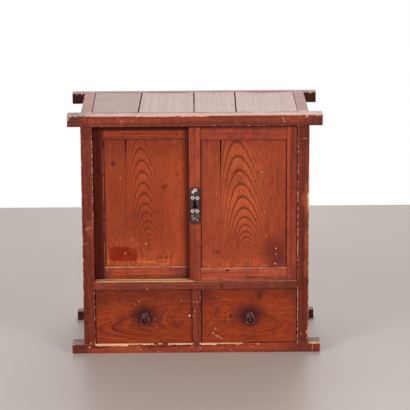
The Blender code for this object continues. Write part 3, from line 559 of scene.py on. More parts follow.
def panel_bed(side):
    """The opening of a door frame that its panel shows through: left, right, low and high."""
    door = f"{side}_door"
    return (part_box(f"{door}_left_stile")[1].x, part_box(f"{door}_right_stile")[0].x,
            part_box(f"{door}_bottom_rail")[1].z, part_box(f"{door}_top_rail")[0].z)


def arris_gap(f):
    """How far a point is from the nearest arris of its piece."""
    gap = f.node("ShaderNodeVectorMath", {"operation": "MINIMUM"}, {0: f.note("low"), 1: f.note("high")})
    x, y, z = f.parts(gap)
    return f.most(f.least(x, y), f.least(f.most(x, y), z))


def marks(f, ragged, table):
    """Listed spots with ragged rims, as one mask."""
    return f.most(*(
        f.step(f.oval((x, z), (half_width, half_height)) + ragged, 1.15, 0.55, 0, strength)
        for x, z, half_width, half_height, strength in table
    ))


def flecks(f, cells, share, size):
    """Small chips of lacquer scattered at random: a share of a field of cells gets one."""
    wander = f.node("ShaderNodeTexNoise", {}, {"Vector": f.place, "Scale": 260.0, "Detail": 1.0}, "Color")
    shaken = f.node("ShaderNodeVectorMath", {"operation": "MULTIPLY_ADD"},
                    {0: wander, 1: (0.004, 0.004, 0.004), 2: f.place})
    cell = f.node("ShaderNodeTexVoronoi", {}, {"Vector": shaken, "Scale": cells}, "Distance")
    chance, grade, _ = f.parts(cell.output("Color"))
    chosen = f.step(chance - share, 0.0, -0.01) * f.step(grade, 0, 1, 0.4, 1)
    return f.step(cell / cells, size, 0.5 * size) * chosen


def edge_wear(f, edge, table):
    """Bare wood along the upper arris of a rail: the table lists stretches as start, end and depth."""
    depth = f.most(*(f.between(f.x, start, end, 0.006) * reach for start, end, reach in table))
    rough = (f.drawn(f.place, (80, 30, 160), 4, 0.7) - 0.5) * 3.2
    worn = f.step(edge - f.z, depth * (1.2 + rough), depth * (0.7 + rough))
    return worn * f.step(depth, 0.0006, 0.0012) * f.step(f.z, edge + 0.004, edge + 0.002)


def straight_figure(f):
    """Plain straight grain that runs with the length of the piece."""
    grain = f.note("grain")
    bands = f.drawn(grain, (0.9, 55, 55), 3, 0.6, 0.4)
    fibres = f.drawn(grain, (8, 420, 420), 2, 0.6)
    return f.step(0.62 * bands + 0.38 * fibres, 0.40, 0.66), fibres


def cathedral_figure(f, top, axis, crown, spread, growth, fade):
    """Flat-sawn grain: nested arches that crowd together towards the foot of the panel.

    axis gives the line of the crowns as start, lean and bow, and crown and spread the shape of one arch. growth is
    the count of arches down that line as start, rate, crowding and power, and fade where they weaken and how far.
    """
    drop = top - f.z
    off = f.x - (axis[0] + drop * axis[1] + drop * drop * axis[2])
    far = abs(off)
    slow = f.drawn(f.place, (22, 1, 9), 2) - 0.5
    quick = f.drawn(f.place, (300, 1, 40), 2) - 0.5
    height = drop - (f.hypot(off, crown) - crown) / spread + 0.010 * slow + 0.0030 * quick
    start, rate, crowding, power = growth
    count = start + rate * height + crowding * f.most(height, 0.0) ** power + COUNT_START
    turn = f.sum("FRACT", count)
    strength = f.cloud(f.join(f.sum("FLOOR", count), 0.37, 0.61), 0.83, 0)
    line = f.step(turn, 0.52, 0.94) * f.step(turn, 1.0, 0.95)
    line = line * f.step(strength, 0.3, 0.7, 0.62, 0.95) * f.step(far, 0.030, 0.10, 1.0, 0.50)
    line = line * f.step(drop, fade[0], fade[1], 1.0, fade[2])
    fine = f.sum("FRACT", count * 3.0)
    faint = f.step(fine, 0.3, 0.9) * f.step(fine, 1.0, 0.93) * f.step(far, 0.02, 0.08, 0.06, 0.24)
    early = f.step(turn, 0.45, 0.05) * f.step(far, 0.055, 0.015)
    fibres = f.drawn(f.place, (430, 1, 8), 3, 0.65)
    tone = f.most(line, faint, 0.13 - 0.13 * early) + 0.36 * f.step(fibres, 0.46, 0.72)
    return f.least(tone, 1.0), fibres


def loop_figure(f, way, axis, tips, faintness):
    """Flat-sawn grain lying down: nested loops whose tips point along an axis.

    way is 1 for loops that open to the right and -1 to the left. axis gives a point of the axis and its slope,
    counted along that way, tips the strong loops as place and strength, and faintness the strength of the rest.
    """
    along = f.x * way
    slow = f.drawn(f.place, (7, 1, 16), 3) - 0.5
    quick = f.drawn(f.place, (40, 1, 420), 2) - 0.5
    up = f.z - axis[1] - (along - axis[0]) * axis[2] + 0.007 * slow + 0.0030 * quick
    slope = f.step(up, -0.004, 0.004, 0.31, 0.12)
    guess = along - (f.hypot(up, 0.06) - 0.06) / 0.12
    bluntness = f.step(guess, -0.26, -0.10, 0.0062, 0.0340) / slope
    root = f.hypot(up, bluntness)
    lead = along - (root - bluntness) / slope
    steep = (1.0 + (up / (root * slope)) ** 2.0) ** 0.5
    fibres = f.drawn(f.place, (10, 1, 430), 3, 0.65)
    line = f.most(*(f.step(abs(lead - tip) / steep, 0.0062, 0.0004, 0, strength) for tip, strength in tips))
    line = line * f.step(fibres, 0.30, 0.60, 0.60, 1.0) * f.step(abs(up), 0.025, 0.07, 1.0, 0.40)
    fine = f.sum("FRACT", lead / LOOP_PITCH + COUNT_START)
    faint = f.step(fine, 0.2, 0.85) * f.step(fine, 1.0, 0.90) * f.step(slow, -0.12, 0.12, 0.55, 1.0) * faintness
    streams = f.drawn(f.join(lead, 0.0, along), (48, 1, 5), 3, 0.6)
    tone = f.most(line, faint) + 0.20 * f.step(fibres, 0.48, 0.74) + 0.26 * f.step(streams, 0.46, 0.68)
    return f.least(tone, 1.0), fibres


def lacquered(name, light, dark, figure, wear=0.5, pale=(), stains=(), front=None, flecked=0.05, ground=None,
              extra=None, worn_zones=(), dotted_zones=(), streaked=0.6, clouded=1.0, mottled=1.0, roughness=0.42,
              bare=None):
    """Old lacquer over grain, clouded, chipped and worn through along the arrises.

    ground changes the colour between the growth lines, and extra what lies over them. A wear of 0 leaves the
    arrises as they are.
    """
    f = Finish(name, LACQUER_SPECULAR)
    place, glow, bloom, rubbed = f.place, f.colours.glow, f.colours.bloom, f.colours.rubbed
    grain = f.note("grain")
    lines, fibres = figure(f)
    streaks = f.drawn(grain, (5, 170, 170), 4, 0.65)
    clouding = f.cloud(place, 8, 4, 0.6)
    patches = f.cloud(place, 34, 3, 0.6)
    mottle = f.drawn(grain, (75, 280, 280), 3, 0.65)
    colour = f.washes(
        ground(f, light) if ground else light,
        (f.step(streaks, 0.47, 0.68, 0, streaked), glow),
        (f.step(clouding, 0.47, 0.74, 0, 0.45), bloom),
        (f.step(patches, 0.50, 0.68, 0, 0.42 * clouded), bloom),
        (f.step(patches, 0.46, 0.32, 0, 0.40 * clouded), glow),
        (lines, dark),
        (f.step(mottle, 0.50, 0.66, 0, 0.46 * mottled), dark),
        (f.step(mottle, 0.49, 0.34, 0, 0.16 * mottled), tint(198, 96, 64)),
    )
    ragged = (f.cloud(place, 300, 2) - 0.5) * 1.1
    shown = 1.0 if front is None else f.step(f.y, front + 0.0055, front + 0.0045)
    if stains:
        colour = f.mix(marks(f, ragged, stains) * shown, colour, tint(62, 20, 14))
    if extra:
        colour = extra(f, colour, ragged)
    jag = f.cloud(place, 150, 3, 0.6)
    fine_share = f.step(f.z, BASE_TOP + 0.004, BASE_TOP, flecked * 0.5, 0.34)
    chips = f.most(flecks(f, 42.0, flecked, 0.0024), flecks(f, 105.0, fine_share, 0.0017))
    if pale:
        chips = f.most(chips, marks(f, ragged, pale) * shown)
    if wear:
        knocked = f.node("ShaderNodeAttribute", {"attribute_name": "chip"}, {}, "Fac") + (jag - 0.5) * 1.2
        gap = arris_gap(f) + (jag - 0.5) * 0.0045
        chance = f.cloud(place, 11, 3, 0.6)
        if worn_zones:
            chance = chance + marks(f, ragged * 0.3, worn_zones) * shown
        reach = f.step(chance, 0.74 - 0.25 * wear, 0.98 - 0.2 * wear, 0.0003, 0.0075)
        chips = f.most(chips, f.step(knocked, 0.66, 0.80), f.step(gap, reach, reach * 0.45))
        # Painted highlight along each arris, partly lacquer rubbed thin: a thin pale line in the rubbed colour
        arris_highlight = f.step(gap, 0.0020, 0.0006) * f.step(f.cloud(place, 45, 2), 0.42, 0.62) * (0.25 + 0.3 * wear)
        colour = f.mix(arris_highlight, colour, rubbed)
        if dotted_zones:
            dots = f.drawn(grain, (95, 40, 40), 3, 0.6) + marks(f, ragged * 0.3, dotted_zones) * shown * 0.24
            dots = f.step(gap, 0.0026, 0.0012) * f.step(dots, 0.62, 0.70)
            colour = f.mix(dots * 0.9, colour, tint(228, 184, 156))
    bare_tone = f.drawn(grain, (20, 500, 500), 2) * 0.7
    colour = f.mix(chips, colour, f.mix(bare_tone, bare or f.colours.bare, rubbed))
    sheen = f.step(clouding, 0.3, 0.7, roughness - 0.05, roughness + 0.09)
    height = fibres * 0.5 + lines * -0.35 + jag * 0.4 + chips * -1.0
    return f.close(colour, f.least(sheen + chips * 0.3, 0.9), height, 0.00035)


def bright_foot(f, start, end, left, right):
    """The speckled bright lacquer at the foot of a panel."""
    speckle = f.step(f.drawn(f.place, (90, 1, 45), 3), 0.36, 0.68)
    return f.step(f.z, start, end) * f.between(f.x, left, right, 0.03) * speckle * 0.9, tint(212, 102, 52)


def right_panel_ground(f, light):
    """Bright heart and foot of the right panel, browner left side, purple head and right side."""
    x, z = f.x, f.z
    heart = f.step(z, 0.38, 0.52) * f.step(z, 0.76, 0.68) * f.between(x, 0.11, 0.19, 0.06)
    return f.washes(
        light,
        (f.step(x, 0.095, 0.075, 0, 0.35), tint(152, 68, 46)),
        (heart * 0.60, tint(208, 100, 50)),
        bright_foot(f, 0.350, 0.300, 0.02, 0.225),
        (f.most(f.step(z, 0.68, 0.745, 0, 0.4), f.step(x, 0.22, 0.30, 0, 0.26)), f.colours.bloom),
        (0.09, tint(178, 92, 82)),
    )


def left_panel_ground(f, light):
    """Brown narrow board, red heart, orange right side and foot, and a purple head."""
    x, z = f.x, f.z
    return f.washes(
        light,
        (f.step(x, -0.2300, -0.2370, 0, 0.55), tint(138, 60, 36)),
        (f.between(x, -0.19, -0.13, 0.06) * f.step(z, 0.60, 0.48, 0, 0.45), tint(142, 54, 32)),
        (f.step(x, -0.12, -0.06, 0, 0.55), tint(184, 78, 42)),
        bright_foot(f, 0.385, 0.310, -0.290, -0.080),
        (f.step(z, 0.64, 0.745, 0, 0.5), f.colours.bloom),
    )


def door_ground(side):
    """Brighter lacquer on the bottom rail of a door and on the upper half of its left stile."""
    left, right, ledge, head = panel_bed(side)

    def ground(f, light):
        x, z = f.x, f.z
        foot = f.step(z, ledge + 0.012, ledge - 0.01) * f.between(x, left, right, 0.002)
        stile = f.step(x, left + 0.002, left - 0.002)
        upper_half = (stile * f.step(z, 0.45, 0.62, 0, 0.5), tint(176, 80, 54))
        if side == "left":
            browner = [0.6 * own + 0.4 * cast for own, cast in zip(light, tint(130, 53, 27))]
            return f.washes(browner, (foot * 0.70, tint(184, 84, 54)), upper_half)
        return f.washes(
            light,
            (f.step(z, 0.35, 0.72, 0.175, 0.35), tint(166, 80, 68)),
            (f.step(z, head - 0.002, head + 0.002, 0, 0.25), tint(122, 50, 38)),
            (f.step(x, right - 0.002, right + 0.002, 0, 0.45), tint(186, 74, 50)),
            (foot * 0.875, tint(193.8, 92.4, 65.9)),
            (stile * f.step(z, 0.46, 0.38, 0, 0.4), tint(118, 52, 34)),
            upper_half,
        )

    return ground


def frame_ground(f, light):
    """Redder base and top rails with dark ends, browner feet of the posts, a dull sill and a redder divider."""
    x, z = f.x, f.z
    base = f.step(z, BASE_TOP + 0.004, BASE_TOP - 0.002)
    head = f.step(z, 0.784, 0.790)
    sill = f.between(z, 0.225, SILL_TOP, 0.003) * f.step(abs(x), JAMB + 0.002, JAMB - 0.001)
    divider = f.step(abs(x - 0.002), 0.018, 0.014) * f.step(z, 0.226, 0.20)
    return f.washes(
        light,
        (f.step(z, 0.46, 0.14, 0, 0.45), tint(106, 40, 24)),
        (f.step(z, 0.52, 0.72, 0, 0.45), tint(128, 58, 47)),
        (f.step(x, 0.30, 0.34) * f.step(z, 0.40, 0.60, 0, 0.35), tint(140, 62, 46)),
        (base * 0.85, tint(170, 72, 46)),
        (base * f.step(x, 0.20, 0.36, 0, 0.75), tint(88, 38, 31)),
        (base * f.step(x, -0.345, -0.385, 0, 0.8), tint(64, 38, 26)),
        (head * 0.55, tint(154, 70, 54)),
        (head * f.step(x, -0.352, -0.398, 0, 0.85), tint(66, 44, 41)),
        (head * f.step(x, 0.350, 0.408, 0, 0.75), tint(78, 42, 44)),
        (sill * 0.6, tint(136, 72, 54)),
        (divider * 0.55, tint(160, 74, 51)),
    )


def left_door_dirt_shade_and_highlight(f, colour):
    """Painted shade and dirt where the left door stands behind its post and the other door, and a painted
    highlight along its stile's arris where that shade ends.
    """
    # Painted shade, partly dirt: the stile behind the post and the edge behind the right door are darkened
    shade_and_dirt_behind = f.most(f.step(f.x, -0.3060, -0.3085, 0, 0.76), f.step(f.x, -0.044, -0.024, 0, 0.72))
    # Painted highlight: a thin pale line down the stile's inner arris
    line = f.step(abs(f.x - ARRIS_HIGHLIGHT_X), 0.0018, 0.0007) * f.between(f.z, 0.28, 0.68, 0.06)
    line = line * f.step(f.cloud(f.place, 55, 3), 0.36, 0.60, 0.05, 0.65)
    return f.washes(colour, (shade_and_dirt_behind, tint(66, 7, 0)), (line, tint(180, 108, 94)))


def lock_bloom_and_keyhole_shade(f, colour, ragged):
    """The dark bloom round the lock plate, and black painted behind its keyhole as shade."""
    low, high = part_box("lock_plate")
    middle, half = (low + high) / 2, (high - low) / 2
    far = f.outside((middle.x, middle.z), (half.x - 0.010, half.z - 0.010)) + ragged * 0.003
    return f.washes(
        colour,
        (f.step(far, 0.021, 0.010, 0, 0.65), tint(70, 36, 34)),
        # Painted shade: black under the plate, which shows through the keyhole
        (f.step(far, 0.0095, 0.0085), tint(10, 7, 6)),
    )


def door_extra(side):
    """Stained ends and joint lines of a door frame, painted shade under its head, a ledge paled by dusting and
    painted sheen, and painted shade, dirt and bloom by its neighbours and its lock.
    """
    left, right, ledge, _ = panel_bed(side)

    def extra(f, colour, ragged):
        x, z = f.x, f.z
        low_part = f.step(z, ledge + 0.03, ledge - 0.012)
        stains = [f.step(x + ragged * 0.006, start, end, 0, strength) * low_part
                  for start, end, strength in STAINED_ENDS[side]]
        joints = f.most(*(f.step(abs(x - joint), 0.0016, 0.0004, 0, 0.6) for joint in (left, right)))
        # The ledge on top of the bottom rail is paled by dusting and painted sheen
        dust_and_sheen = f.step(abs(z - ledge + 0.0006), 0.0020, 0.0008) * f.between(x, left, right, 0.001)
        dust_and_sheen = dust_and_sheen * f.step(f.cloud(f.place, 60, 3), 0.34, 0.58, 0.25, 0.85)
        start, end, strength = HEAD_SHADE[side]
        colour = f.washes(
            colour,
            *((stain, tint(92, 46, 44)) for stain in stains),
            (joints, f.colours.grime_and_shade),
            (f.step(z + ragged * 0.001, start, end, 0, strength), tint(46, 10, 4)),
            (dust_and_sheen, tint(226, 164, 140)),
        )
        return left_door_dirt_shade_and_highlight(f, colour) if side == "left" else lock_bloom_and_keyhole_shade(f, colour, ragged)

    return extra


def bed_shade_and_dirt(f, colour, side):
    """Painted shade, with some dirt, along the edges of a panel, where it sits in its frame."""
    left, right, low, high = panel_bed(side)
    edge = f.least(f.x - left, right - f.x, (f.z - low) * 2.0, high - f.z)
    # Painted shade and dirt: darker near the frame that the panel sits back in
    near = f.step(edge + (f.cloud(f.place, 90, 2) - 0.5) * 0.004, 0.006, 0.0005, 0, 0.75)
    return f.mix(near, colour, f.colours.grime_and_shade)


def frame_extra(f, colour, ragged):
    """Rear ends darkened as painted shade, rubbed posts, the bare track before the doors, painted sheen on top of
    the base rail's ends, worn front arrises, and top faces that are faded and paled with painted sheen.
    """
    x, y, z = f.x, f.y, f.z
    # Painted shade: the ends at the back, shaded by the chest itself
    rear = f.step(y, 0.05, 0.12) * f.step(abs(x), 0.372, 0.386, 0, 0.62)
    rubbed = marks(f, ragged * 1.6, RUBBED_ON_FRAME) * f.step(y, -0.19, -0.20)
    track = f.step(z, SILL_TOP - 0.0016, SILL_TOP - 0.0006) * f.step(z, SILL_TOP + 0.004, SILL_TOP + 0.001)
    track = track * f.step(x, 0.0, -0.02, 0.25, 1.0)
    track = track * f.step(abs(x), JAMB, JAMB - 0.004) * f.step(y, -0.140, -0.150)
    track = track * f.step(f.drawn(f.place, (9, 90, 90), 3), 0.24, 0.44)
    # Painted sheen: paler grey pink on top of the base rail's ends beyond the posts
    stub_top_sheen = f.step(z, BASE_TOP - 0.0020, BASE_TOP - 0.0008) * f.between(z, 0.0, BASE_TOP, 0.002)
    stub_top_sheen = stub_top_sheen * f.step(abs(x), 0.3818, 0.3835)
    arris = f.step(y, FRONT + 0.016, FRONT + 0.006)
    by_front = f.step(y, -0.13, -0.15)
    blotches = f.step(f.drawn(f.place, (60, 25, 1), 3), 0.35, 0.65)
    # The top faces take the board colours, paler at the front: faded lacquer and painted sheen
    top_face_fade_and_sheen = f.washes(
        f.mix(f.cloud(f.place, 40, 3), f.colours.board_light, f.colours.board_dark),
        (by_front * f.step(blotches, 0, 1, 0.6, 1.0), tint(224, 188, 176)),
        (f.step(x, -0.345, -0.37) * by_front * f.step(blotches, 0, 1, 0.9, 0.5), tint(134, 108, 100)),
    )
    return f.washes(
        colour,
        (rear, tint(40, 20, 16)),
        (rubbed, tint(170, 82, 50)),
        (track, tint(250, 196, 142)),
        (stub_top_sheen * 0.7, tint(156, 132, 124)),
        (edge_wear(f, BASE_TOP, BASE_WEAR) * arris, tint(240, 184, 138)),
        (f.step(z + ragged * 0.001, TOP - 0.0030, TOP - 0.0012, 0, 0.92), top_face_fade_and_sheen),
        (edge_wear(f, TOP, TOP_WEAR) * arris, tint(232, 172, 138)),
    )


def left_panel_extra(f, colour, ragged):
    """A knot, speckles and scuffs, the deep red patch, painted shade and dirt round the panel, and the painted
    shade, dirt and highlight by its neighbours.
    """
    x, z = f.x, f.z
    knot = f.oval(KNOT_MIDDLE, KNOT_HALF) + ragged * 0.5
    speckles = f.step(f.drawn(f.place, (120, 1, 60), 3), 0.40, 0.66)
    speckles = speckles * f.between(x, -0.280, -0.200, 0.02) * f.between(z, 0.370, 0.390, 0.014)
    scuffs = f.step(f.drawn(f.place, (25, 1, 190), 3), 0.42, 0.60)
    scuffs = scuffs * f.between(x, -0.195, -0.095, 0.02) * f.step(z, 0.334, 0.312)
    across = x - PATCH_MIDDLE[0]
    up = z - PATCH_MIDDLE[1]
    rim = f.outside(PATCH_MIDDLE, [half - PATCH_CORNER for half in PATCH_HALF]) + ragged * 0.0034 - PATCH_CORNER
    soft = f.step(across, -0.026, -0.040, 0.0011, 0.0050)
    patch = f.step(rim, soft, 0.0 - soft) * f.step(f.y, *LEFT_PANEL_FACE)
    patch = patch * f.step(across * 0.55 + up + ragged * 0.002, 0.037, 0.034)
    patch = patch * f.step(f.cloud(f.place, 50, 3), 0.25, 0.60, 0.72, 1.0)
    patch = patch * (1.0 - marks(f, ragged * 1.4, RUBBED_ON_PATCH))
    colour = f.washes(
        colour,
        (f.step(knot, 2.2, 0.9, 0, 0.45), tint(112, 62, 52)),
        (f.step(abs(knot - 0.75), 0.55, 0.10, 0, 0.85), tint(56, 20, 14)),
        (speckles * 0.28, tint(206, 106, 64)),
        (scuffs * 0.5, tint(220, 116, 64)),
        (patch, tint(130, 33, 6)),
    )
    return left_door_dirt_shade_and_highlight(f, bed_shade_and_dirt(f, colour, "left"))


def right_panel_extra(f, colour, ragged):
    """The dark stain in the corner of the right panel, and painted shade with dirt round its edges."""
    soft = (f.cloud(f.place, 30, 4, 0.6) - 0.5) * 0.9
    for middle, half, strength, cast in CORNER_STAIN:
        colour = f.mix(f.step(f.oval(middle, half) + soft, 1.15, 0.35, 0, strength), colour, tint(*cast))
    return bed_shade_and_dirt(f, colour, "right")


def halo_extra(centre, radius, cast, ring):
    """The dark bloom that an iron pull leaves on a drawer front, the painted shadow round its ring, painted shade
    towards the top, and painted shade with dirt round the front's edges.
    """

    def extra(f, colour, ragged):
        x, z = f.x, f.z
        soft = f.drawn(f.place, (60, 1, 90), 3) - 0.5
        corner = f.step(abs(x - centre[0]), 0.10, 0.175) * f.step(z + soft * 0.04, 0.13, 0.215, 0.15, 0.6)
        face = f.step(f.y, *DRAWER_FACE)
        far = f.hypot(x - centre[0], (z - centre[1]) * 1.25) + soft * 0.016
        near = f.hypot(x - ring[0], z - ring[1]) + soft * 0.008
        ring_shadow = f.mix(f.step(near, 0.003, 0.0105), tint(100, 42, 31), tint(42, 13, 11))
        return f.washes(
            colour,
            # Painted shade: darker towards the top of the front, under the sill
            (f.step(z + soft * 0.05, 0.160, 0.222, 0, 0.38), f.colours.drawer_dark),
            (corner, tint(86, 34, 30)),
            (f.step(far, radius, radius * 0.15, 0, 0.92) * face, tint(*cast)),
            # Painted shadow round the ring, lighter in the middle where the wood shows through
            (f.step(near, 0.023, 0.012, 0, 0.88) * face, ring_shadow),
            # Painted shade and dirt along the front's edges, where it sits back in the frame
            (f.step(arris_gap(f), 0.0040, 0.0006, 0, 0.45), f.colours.grime_and_shade),
        )

    return extra


def faded_boards(name, slant=0.0, darker=False):
    """Faded lacquer with fine straight grain, for the boards on top. slant is how far the grain leans sideways."""
    f = Finish(name)
    light, dark = f.colours.board_light, f.colours.board_dark
    along, across, depth = f.parts(f.note("grain"))
    grain = f.join(along, across - along * slant, depth)
    lines = f.drawn(grain, (0.8, 320, 60), 3, 0.65, 0.3)
    broad = f.drawn(grain, (0.6, 70, 30), 3, 0.6)
    fibres = f.drawn(grain, (12, 620, 620), 2, 0.6)
    tone = f.step(0.40 * lines + 0.12 * broad + 0.48 * fibres, 0.42, 0.58)
    colour = f.mix(tone, light, dark)
    if darker:
        dark_lines = f.step(f.drawn(grain, (2, 110, 1), 2), 0.52, 0.66)
        colour = f.mix(f.most(dark_lines * 0.95, 0.60), colour, tint(120, 70, 59))
    dust_and_sheen = f.cloud(f.place, 5, 4, 0.6)
    gap = arris_gap(f) + (f.cloud(f.place, 150, 3) - 0.5) * 0.004
    worn = f.step(gap, 0.0030, 0.0008) * f.step(f.cloud(f.place, 24, 2), 0.45, 0.65)
    _, from_front, _ = f.parts(f.note("low"))
    colour = f.washes(
        colour,
        (f.step(dust_and_sheen, 0.45, 0.75, 0, 0.4), tint(206, 160, 150)),
        (f.step(dust_and_sheen, 0.48, 0.25, 0, 0.25), dark),
        (worn * 0.5, f.colours.rubbed),
        # Painted shade: a dark strip at the front end of each board
        (f.step(from_front, 0.0012, 0.0003), tint(84, 48, 42)),
    )
    return f.close(colour, f.step(dust_and_sheen, 0.3, 0.7, 0.34, 0.46), fibres * 0.6 + tone * -0.5, 0.0004)


def bare_wood(name, along, extra=None):
    """Planed wood without lacquer, browned by age."""
    f = Finish(name, 0.3)
    coarse = [34.0] * 3
    coarse[along] = 0.9
    close = [420.0] * 3
    close[along] = 9.0
    bands = f.drawn(f.place, coarse, 3, 0.6, 0.5)
    fibres = f.drawn(f.place, close, 2, 0.6)
    tone = f.step(0.6 * bands + 0.4 * fibres, 0.38, 0.66)
    age = f.cloud(f.place, 6, 4, 0.6)
    colour = f.mix(tone, f.colours.inside_light, f.colours.inside_dark)
    colour = f.mix(f.step(age, 0.45, 0.75, 0, 0.4), colour, tint(110, 74, 50))
    if extra:
        colour = extra(f, colour)
    return f.close(colour, f.step(age, 0.3, 0.7, 0.62, 0.78), fibres * 0.6 + tone * -0.4, 0.0004)


def back_grime(f, colour):
    """The browner back: water stains from the foot, dirt along the frame, and the dark joint of its two boards."""
    low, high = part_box("back_board_1")[0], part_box("back_board_2")[1]
    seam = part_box("back_board_1")[1].x
    soft = (f.cloud(f.place, 16, 4, 0.6) - 0.5) * 0.06
    damp = (f.drawn(f.place, (26, 1, 5), 4, 0.6) - 0.5) * 0.5
    return f.washes(
        colour,
        (0.35, tint(118, 72, 48)),
        (f.step(f.x, seam - 0.001, seam + 0.001, 0, 0.22), tint(92, 56, 38)),
        (f.step(f.inside(low, high) + soft, 0.055, 0.008, 0, 0.65), tint(74, 44, 32)),
        (f.step(f.z - low.z + damp, 0.20, 0.02, 0, 0.55), tint(82, 52, 38)),
        (f.step(abs(f.x - seam), 0.0026, 0.0008, 0, 0.92), tint(30, 18, 13)),
    )


def wrought(name, base, worn, wear=0.5, roughness=0.5, metallic=IRON_METALLIC, extra=None):
    """Hammered metal, dark in the hollows and rubbed brighter on the high spots."""
    f = Finish(name, metallic=metallic)
    hammer = f.cloud(f.place, 240, 3, 0.6)
    scale = f.cloud(f.place, 900, 3, 0.65)
    rub = f.step(f.cloud(f.place, 110, 3, 0.6), 0.66 - 0.3 * wear, 0.86 - 0.3 * wear)
    rust = f.step(f.cloud(f.place, 160, 4, 0.65), 0.58, 0.74, 0, 0.4)
    colour = f.washes(base, (rub, worn), (rust, tint(74, 46, 36)))
    if extra:
        colour = extra(f, colour)
    sheen = f.step(scale, 0.3, 0.7, roughness - 0.14, roughness + 0.14)
    return f.close(colour, sheen, hammer + scale * 0.3, 0.0004)


def plate_tarnish_and_keyhole_shade(f, colour):
    """Purple tarnish and dark edges of the lock plate, and its keyhole painted black as shade."""
    tarnish = f.step(f.cloud(f.place, 120, 3, 0.6), 0.40, 0.62, 0, 0.7)
    edge = f.inside(*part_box("lock_plate")) + (f.cloud(f.place, 200, 2) - 0.5) * 0.004
    off = abs(f.x - KEYHOLE_X)
    # Painted shade: the keyhole is painted black
    keyhole = f.most(*(f.step(off, outer, inner) * f.between(f.z, low, high, 0.0008)
                       for outer, inner, low, high in KEYHOLE_PARTS))
    f.feed(f.surface.inputs["Metallic"], f.step(keyhole, 0.0, 1.0, IRON_METALLIC, 1.0))
    return f.washes(
        colour,
        (tarnish, tint(82, 48, 46)),
        (f.step(edge, 0.0050, 0.0006, 0, 0.85), tint(48, 22, 20)),
        (keyhole, (0, 0, 0)),
    )


def solid_copy(node):
    """A merged copy of a CAD node, with its flat faces joined up."""
    bm = bmesh.new()
    bm.from_mesh(NODES[node].data)
    bmesh.ops.remove_doubles(bm, verts=bm.verts, dist=0.00002)
    bmesh.ops.dissolve_limit(bm, angle_limit=math.radians(0.6), verts=bm.verts, edges=bm.edges)
    return bm


def slice_across(bm, axis, places):
    """Cuts a mesh into strips across one axis, and keeps both sides."""
    normal = Vector((0, 0, 0))
    normal[axis] = 1
    for place in places:
        geometry = bm.verts[:] + bm.edges[:] + bm.faces[:]
        bmesh.ops.bisect_plane(bm, geom=geometry, dist=0.00001, plane_co=normal * place, plane_no=normal)


def even_cuts(low, high, pitch):
    """Places of the cuts between two ends, no further apart than pitch."""
    count = max(1, math.ceil((high - low) / pitch))
    return [low + (high - low) * step / count for step in range(1, count)]


def seed_of(node):
    """A steady number of a piece's own, so that no two pieces share their grain."""
    return sum((place + 1) * ord(letter) for place, letter in enumerate(node)) % 977


def weather(bm, node, low, high, along, depth):
    """Rubs the arrises back unevenly, knocks out the piece's chips and notes where they are."""
    sizes = bpy.context.scene.chest_sizes
    shift = Vector((seed_of(node), 0.37 * seed_of(node), 0))
    chips = CHIPS.get(node, ())
    middle = (low + high) / 2
    knocked = bm.verts.layers.float.new("chip")
    for vertex in bm.verts:
        near = [
            axis for axis in range(3)
            if min(vertex.co[axis] - low[axis], high[axis] - vertex.co[axis]) < 0.5 * sizes.arris
        ]
        push = 0.0
        if len(near) > 1:
            slow = noise.noise(vertex.co * 16 + shift)
            quick = noise.noise(vertex.co * 85 + shift)
            push = depth * (0.35 + max(0, 0.9 * slow + 0.55 * quick))
        for centre, radius, bite in chips:
            far = (vertex.co - Vector(centre)).length / radius
            if far < 1:
                ragged = 0.75 + 0.5 * noise.noise(vertex.co * 160 + shift)
                push = max(push, bite * (1 - far * far) * ragged)
                vertex[knocked] = max(vertex[knocked], 1 - far)
        for axis in range(3):
            if push and axis != along and (axis in near or len(near) < 2):
                side = 1 if vertex.co[axis] < middle[axis] else -1
                vertex.co[axis] += side * push


def carry_places(mesh, node, low, high, along):
    """Writes on a mesh where each point is in its piece: along its grain, and from its low and high sides."""
    order = [along] + [axis for axis in (X, Y, Z) if axis != along]
    seed = seed_of(node)
    shift = (0.37 * seed, 0.11 * seed, 0.07 * seed)
    notes = {"grain": [], "low": [], "high": []}
    for vertex in mesh.vertices:
        notes["grain"] += [vertex.co[axis] + extra for axis, extra in zip(order, shift)]
        notes["low"] += [*(vertex.co - low)]
        notes["high"] += [*(high - vertex.co)]
    for name, values in notes.items():
        mesh.attributes.new(name, "FLOAT_VECTOR", "POINT").data.foreach_set("vector", values)


def put(name, data):
    """Adds an object to the scene."""
    made = bpy.data.objects.new(name, data)
    bpy.context.scene.collection.objects.link(made)
    return made


def put_mesh(bm, name, material):
    """Adds a finished mesh to the scene."""
    mesh = bpy.data.meshes.new(name)
    bm.to_mesh(mesh)
    bm.free()
    mesh.materials.append(material)
    return put(name, mesh)


def stand_for(bm, name, material, body, nodes=(), smooth=False):
    """Turns a mesh into a piece that rides on a body and stands for CAD nodes."""
    for face in bm.faces:
        face.smooth = smooth
    piece = put_mesh(bm, name, material)
    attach(piece, body)
    if nodes:
        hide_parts(*nodes)
    return piece


